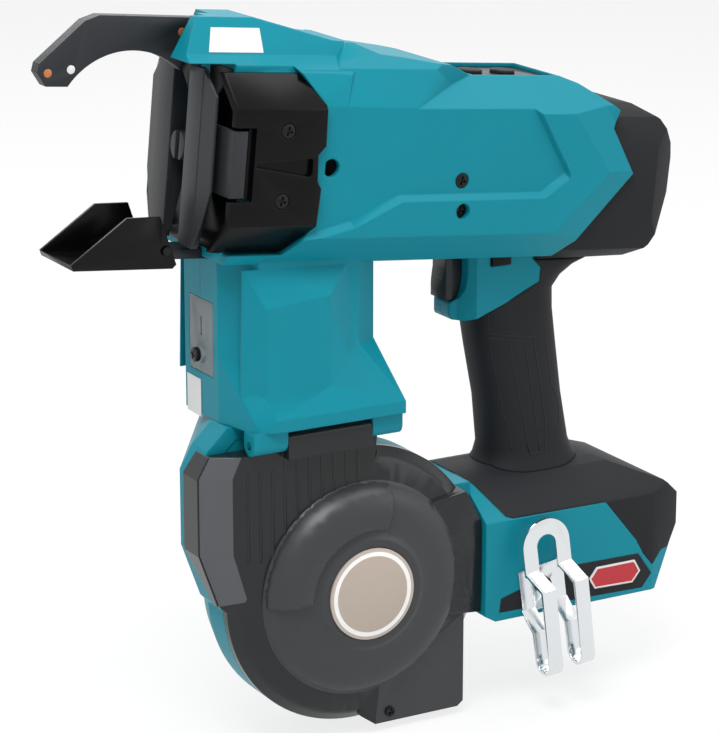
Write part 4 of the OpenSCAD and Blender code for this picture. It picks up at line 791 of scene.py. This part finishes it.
def lay_on_grip(seam, side):
    wrap = seam.modifiers.new("lay", "SHRINKWRAP")
    wrap.wrap_method = "PROJECT"
    wrap.use_project_y = True
    wrap.use_negative_direction = side > 0
    wrap.use_positive_direction = side < 0
    wrap.target = grip_skin
    bpy.ops.object.modifier_apply(modifier="lay")
    bpy.ops.object.convert(target="CURVE")
    seam.data.bevel_depth = SEAM_RADIUS * MM
    seam.data.bevel_resolution = 1
    bpy.ops.object.convert(target="MESH")
    bpy.ops.object.shade_smooth()


for field, line in GRIP_FIELDS.items():
    for side, hand in ((-1, "left"), (1, "right")):
        seam = seam_line("grip_seam_" + field + "_" + hand, line, side)
        lay_on_grip(seam, side)
        finish_piece(seam, "frame", seam_rubber)
print("seams:", 2 * len(GRIP_FIELDS))

# %% [markdown]
# The round disc on the reel cover is champagne-coloured foil with a white ring, brushed in one direction.
# The ring could be a piece of its own, but it is flush with the foil. So one material draws it by the
# distance to the reel's axis, and a stretched noise gives the brushing.

# %% Foil of the disc
DISC_RADIUS = 23.0
# Where the white ring starts and ends, as shares of the radius
RING_START, RING_END = 0.83, 0.925
BRUSH_MM, BRUSH_STRETCH, FOIL_GLOSS = 4, (1.0, 1.0, 14.0), (0.28, 0.45)
# Brushed foil: pale gold with a soft sheen in one direction
foil, tree, shader = new_material("champagne_foil")
place = add(tree, "ShaderNodeTexCoord").outputs["Object"]
split = add(tree, "ShaderNodeSeparateXYZ", {"Vector": place})
height = add(tree, "ShaderNodeMath", {0: split.outputs["Z"]}, operation="SUBTRACT")
height.inputs[1].default_value = REEL_AXIS[1] * MM
flat = add(tree, "ShaderNodeCombineXYZ", {"X": split.outputs["X"], "Y": height.outputs[0]})
reach = add(tree, "ShaderNodeVectorMath", {0: flat.outputs[0]}, operation="LENGTH")
share = add(tree, "ShaderNodeMath", {0: reach.outputs["Value"]}, operation="MULTIPLY")
share.inputs[1].default_value = 1 / (DISC_RADIUS * MM)
rings = add(tree, "ShaderNodeValToRGB", {"Fac": share.outputs[0]})
rings.color_ramp.interpolation = "CONSTANT"
rings.color_ramp.elements[0].color = colour("#b3a599")
rings.color_ramp.elements[1].position = RING_START
rings.color_ramp.elements[1].color = colour("#f0efed")
edge_ring = rings.color_ramp.elements.new(RING_END)
edge_ring.color = colour("#b9aea4")
brush = add(tree, "ShaderNodeMapping", {"Vector": place}, Scale=BRUSH_STRETCH)
lines = add(tree, "ShaderNodeTexNoise", {"Vector": brush.outputs["Vector"]},
            Scale=1 / (BRUSH_MM * MM), Detail=3.0)
sheen = add(tree, "ShaderNodeMapRange", {"Value": lines.outputs["Fac"]},
            **{"To Min": FOIL_GLOSS[0], "To Max": FOIL_GLOSS[1]})
tree.links.new(rings.outputs["Color"], shader.inputs["Base Color"])
tree.links.new(sheen.outputs["Result"], shader.inputs["Roughness"])
shader.inputs["Metallic"].default_value = 0.15
disc = rounded("emblem_disc", radius_mm=0.35, material=foil)
print("disc faces:", len(disc.data.polygons))

# %% [markdown]
# The arm's pins are not all alike: two have copper-coloured ends and one is bright. All are one node, so
# one material picks the colour by the place along the tool, which saves parting the mesh.

# %% Arm pins
# The bright pin lies between these two places
BRIGHT_FROM, BRIGHT_TO = -136.5, -100.0
PIN_GRAIN_MM, PIN_GLOSS = 0.5, (0.3, 0.45)
# Riveted ends, rubbed bare: small warm or bright dots on the dark arm
pin_metal, tree, shader = new_material("pin_ends")
place = add(tree, "ShaderNodeTexCoord").outputs["Object"]
split = add(tree, "ShaderNodeSeparateXYZ", {"Vector": place})
bright = add(tree, "ShaderNodeMath", {0: split.outputs["X"]}, operation="COMPARE")
bright.inputs[1].default_value = (BRIGHT_FROM + BRIGHT_TO) / 2 * MM
bright.inputs[2].default_value = (BRIGHT_TO - BRIGHT_FROM) / 2 * MM
pin_tint = add(tree, "ShaderNodeMixRGB", {"Fac": bright.outputs[0]},
               Color1=colour("#c07a4f"), Color2=colour("#e4e5e6"))
pin_grain = add(tree, "ShaderNodeTexNoise", {"Vector": place}, Scale=1 / (PIN_GRAIN_MM * MM))
pin_gloss = add(tree, "ShaderNodeMapRange", {"Value": pin_grain.outputs["Fac"]},
                **{"To Min": PIN_GLOSS[0], "To Max": PIN_GLOSS[1]})
tree.links.new(pin_tint.outputs["Color"], shader.inputs["Base Color"])
tree.links.new(pin_gloss.outputs["Result"], shader.inputs["Roughness"])
shader.inputs["Metallic"].default_value = 0.6
pins = rounded("arm_pins", radius_mm=0.2, material=pin_metal)
print("pin faces:", len(pins.data.polygons))

# %% [markdown]
# The badge on the foot is a gloss red plate with a thin bright highlight along its edge, painted as a
# pale border. A mask could paint the border, but then it has no edge. The front face is inset, a tenth of a
# millimetre deep, to part the border from the field, and each gets its own material.

# %% Foot badge
BORDER_WIDTH, FIELD_DEPTH = 0.8, 0.1
# How much a face's area counts against its place when the front face is looked for
AREA_WEIGHT = 1000
# Gloss red: smooth enough to mirror the lamps
badge_red = moulded_plastic("gloss_red_badge", "#b5202c", rough=0.18, grain_mm=2.0, depth_mm=0.004)
# Painted highlight: a pale, smooth border that paints the thin bright line of light along the edge
painted_highlight_rim = moulded_plastic("pale_badge_border", "#d9d4d2", rough=0.25, grain_mm=2.0, depth_mm=0.004)
badge = rounded("badge_plate", radius_mm=0.15, material=painted_highlight_rim)
badge.data.materials.append(badge_red)
only(badge)
bpy.ops.object.mode_set(mode="EDIT")
bpy.ops.mesh.select_all(action="DESELECT")
bpy.ops.object.mode_set(mode="OBJECT")
badge_front = min(badge.data.polygons, key=lambda face: face.center.y - face.area * AREA_WEIGHT)
badge_front.select = True
bpy.ops.object.mode_set(mode="EDIT")
bpy.ops.mesh.select_mode(type="FACE")
bpy.ops.mesh.inset(thickness=BORDER_WIDTH * MM, depth=-FIELD_DEPTH * MM)
badge.active_material_index = 1
bpy.ops.object.material_slot_assign()
bpy.ops.object.mode_set(mode="OBJECT")
print("badge faces:", len(badge.data.polygons))

# %% [markdown]
# Two plain stickers are on the tool, on the side of the nose hump and on the front of the neck: white
# vinyl patches with a slight sheen. A mask in the housing's material could paint them. As pieces a tenth
# of a millimetre thick they have an edge, and their corners can follow the facet that they lie on.

# %% Plain stickers
STICKER_THICK = 0.12
# White film with a slight sheen
vinyl = moulded_plastic("white_vinyl_sticker", "#dcdedd", rough=0.35, grain_mm=1.5, depth_mm=0.004)


def sticker(name, corners):
    bpy.ops.mesh.primitive_plane_add(size=MM)
    piece = bpy.context.object
    piece.name = name
    for vertex, corner in zip(piece.data.vertices, corners):
        vertex.co = corner
    thick = piece.modifiers.new("thick", "SOLIDIFY")
    thick.thickness = STICKER_THICK * MM
    thick.offset = 0.0
    bpy.ops.object.modifier_apply(modifier="thick")
    finish_piece(piece, "frame", vinyl)
    return piece


# The hump's side, across and up: its lower edge, the way to its upper edge, and the step out to the sticker
SIDE_EDGE, SIDE_RISE, SIDE_STEP = (-22.0, 50.2), (9.1, 16.0), (-0.1, 0.05)


def on_hump_side(along, share):
    across = SIDE_EDGE[0] + SIDE_RISE[0] * share + SIDE_STEP[0]
    up = SIDE_EDGE[1] + SIDE_RISE[1] * share + SIDE_STEP[1]
    return on_barrel(along, across, up)


# The hump sticker: its ends along the barrel, and its edges as shares of the way up the side
HUMP_LOW_FRONT, HUMP_HIGH_FRONT, HUMP_REAR = -106, -103, -78
HUMP_LOW, HUMP_HIGH = 0.06, 0.72
hump_corners = [on_hump_side(HUMP_LOW_FRONT, HUMP_LOW), on_hump_side(HUMP_REAR, HUMP_LOW),
                on_hump_side(HUMP_HIGH_FRONT, HUMP_HIGH), on_hump_side(HUMP_REAR, HUMP_HIGH)]
sticker("hump_sticker", hump_corners)
# The neck sticker: its place along the tool, its two sides across, and its lower and upper edge
NECK_FRONT, NECK_SIDES, NECK_HEIGHTS = -66.1, (15.5, 1), (163.5, 182)
neck_corners = [in_mm(NECK_FRONT, across, up) for up in NECK_HEIGHTS for across in NECK_SIDES]
sticker("neck_sticker", neck_corners)
print("sticker corners:", len(hump_corners) + len(neck_corners))

# %% [markdown]
# The window in the neck is clear polycarbonate over a dark room. True refraction is noisy at few samples.
# Instead, about two thirds of the light pass straight through and the rest is a clear gloss, which stays
# quiet.

# %% Clear window
HAZE_MM, HAZE_GLOSS, GLOSS_SHARE = 6, (0.08, 0.2), 0.35
# Clear and glossy, with a faint haze that softens what it mirrors
clear, tree, shader = new_material("clear_polycarbonate")
shader.inputs["Base Color"].default_value = colour("#c3cdd0")
place = add(tree, "ShaderNodeTexCoord").outputs["Object"]
haze = add(tree, "ShaderNodeTexNoise", {"Vector": place}, Scale=1 / (HAZE_MM * MM), Detail=2.0)
haze_gloss = add(tree, "ShaderNodeMapRange", {"Value": haze.outputs["Fac"]},
                 **{"To Min": HAZE_GLOSS[0], "To Max": HAZE_GLOSS[1]})
tree.links.new(haze_gloss.outputs["Result"], shader.inputs["Roughness"])
passing = add(tree, "ShaderNodeBsdfTransparent", Color=colour("#b9c4c6"))
shares = add(tree, "ShaderNodeMixShader", {1: passing.outputs["BSDF"], 2: shader.outputs["BSDF"]},
             Fac=GLOSS_SHARE)
tree.links.new(shares.outputs["Shader"], tree.nodes["Material Output"].inputs["Surface"])
window = rounded("wire_window", radius_mm=0.3, material=clear)
print("window faces:", len(window.data.polygons))

# %% [markdown]
# What is inside the tool, or too small to need rounding, keeps its CAD shape and only takes a material.
# Copies would add nothing that is seen, and the nodes already ride on their bodies.

# %% Pieces that keep their CAD shape
for material, names in (
        (zinc_steel, ("contact_springs", "hinge_pin", "guide_tube", "front_bearing", "rear_bearing",
                      "twist_spindle", "feed_wheel", "idler_wheel")),
        (screw_steel, ("lower_guide_pin",)),
        (cast_metal, ("reel_spindle", "motor_rotor", "gear_case", "feed_motor")),
        (copper_metal, ("motor_stator", "terminal_blades")),
        (black_nylon, ("trigger_switch", "wire_reel")),
        (wire_steel, ("wire_winding",)),
        (board_lacquer, ("circuit_board",))):
    for name in names:
        nodes[name].data.materials.clear()
        nodes[name].data.materials.append(material)
    print(material.name, "on", ", ".join(names))

# %% [markdown]
# The floor is a white sweep. A bright lamp on it would also flood the tool. So it glows a plain white, as
# in a catalogue, only to the camera and in reflections, and keeps a faint shadow of the tool; to every
# other ray it is a pale matt floor.

# %% Floor
WHITE, PALE_GREY = (1.0, 1.0, 1.0, 1.0), (0.9, 0.9, 0.9, 1.0)
FLOOR_SIZE, FLOOR_ROUGH, FLOOR_GLOW = 12, 0.9, 0.8


def seen_directly(tree):
    rays = add(tree, "ShaderNodeLightPath")
    first = add(tree, "ShaderNodeMath", {0: rays.outputs["Is Camera Ray"], 1: rays.outputs["Is Glossy Ray"]},
                operation="MAXIMUM")
    return add(tree, "ShaderNodeMath", {0: first.outputs[0], 1: rays.outputs["Is Transmission Ray"]},
               operation="MAXIMUM").outputs[0]


bpy.ops.mesh.primitive_plane_add(size=FLOOR_SIZE)
floor = bpy.context.object
floor.name = "studio_floor"
paper, tree, shader = new_material("white_studio_floor")
shader.inputs["Base Color"].default_value = PALE_GREY
shader.inputs["Roughness"].default_value = FLOOR_ROUGH
white_share = add(tree, "ShaderNodeMath", {0: seen_directly(tree)}, operation="MULTIPLY")
white_share.inputs[1].default_value = FLOOR_GLOW
white = add(tree, "ShaderNodeEmission", Color=WHITE, Strength=1.0)
blend = add(tree, "ShaderNodeMixShader",
            {0: white_share.outputs[0], 1: shader.outputs["BSDF"], 2: white.outputs["Emission"]})
tree.links.new(blend.outputs["Shader"], tree.nodes["Material Output"].inputs["Surface"])
floor.data.materials.append(paper)
print("floor:", floor.name)

# %% [markdown]
# The studio is a pale room. It is white to the camera and dimmer as a lamp, for the same reason as the
# floor: the background stays white without washing out the tool.

# %% Room
ROOM_STRENGTH = 0.36
world = bpy.data.worlds.new("studio")
bpy.context.scene.world = world
world.use_nodes = True
tree = world.node_tree
room = tree.nodes["Background"]
room.inputs["Color"].default_value = WHITE
room.inputs["Strength"].default_value = ROOM_STRENGTH
backdrop = add(tree, "ShaderNodeBackground", Color=WHITE, Strength=1.0)
mix = add(tree, "ShaderNodeMixShader",
          {0: seen_directly(tree), 1: room.outputs["Background"], 2: backdrop.outputs["Background"]})
tree.links.new(mix.outputs["Shader"], tree.nodes["World Output"].inputs["Surface"])
print("room strength:", ROOM_STRENGTH)

# %% [markdown]
# Four soft boxes light the tool: a key high at the front left, a weak fill from the rear left, a strip on
# the far side that draws the top edges, and a box above the rear. One sun would be simpler, but large
# boxes give the broad, soft highlights that show the facets.

# %% Lamps
# The point that the boxes face, in metres
MIDDLE = Vector((0.02, 0.0, 0.18))
# Name, place and size in metres, and power in watts
SOFT_BOXES = (("key_box", (-0.6, -0.75, 1.9), (1.0, 0.9), 31),
              ("side_box", (1.3, -1.2, 0.8), (0.9, 1.2), 4),
              ("rim_box", (0.2, 1.4, 1.4), (1.4, 0.6), 12),
              ("top_box", (0.8, -0.25, 1.75), (1.0, 0.8), 9))
for name, place, size, power in SOFT_BOXES:
    bpy.ops.object.light_add(type="AREA", location=place)
    lamp = bpy.context.object
    lamp.name = name
    lamp.data.shape = "RECTANGLE"
    lamp.data.size, lamp.data.size_y = size
    lamp.data.energy = power
    lamp.rotation_euler = (MIDDLE - Vector(place)).to_track_quat("-Z", "Y").to_euler()
print("lamps:", len(SOFT_BOXES))

# %% [markdown]
# The camera stands where the photographer stood: to the front left of the tool, a little above it, far
# enough away for a long lens. A constraint could aim it, but a place and a turn worked out from two
# angles and a distance are plain numbers that can be set against the photograph.

# %% Camera
AZIMUTH, ELEVATION, DISTANCE = math.radians(-29.5), math.radians(16.0), 1.439
TARGET = Vector((0.0197, 0.0, 0.1764))
LENS, SENSOR = 144.9, 36.0
offset = Vector((math.sin(AZIMUTH) * math.cos(ELEVATION), -math.cos(AZIMUTH) * math.cos(ELEVATION),
                 math.sin(ELEVATION)))
bpy.ops.object.camera_add(location=TARGET + DISTANCE * offset)
camera = bpy.context.object
camera.data.lens = LENS
camera.data.sensor_width = SENSOR
camera.rotation_euler = (-offset).to_track_quat("-Z", "Y").to_euler()
bpy.context.scene.camera = camera
bpy.context.scene.view_settings.view_transform = "Standard"
print("camera", round(DISTANCE, 3), "m from the tool")
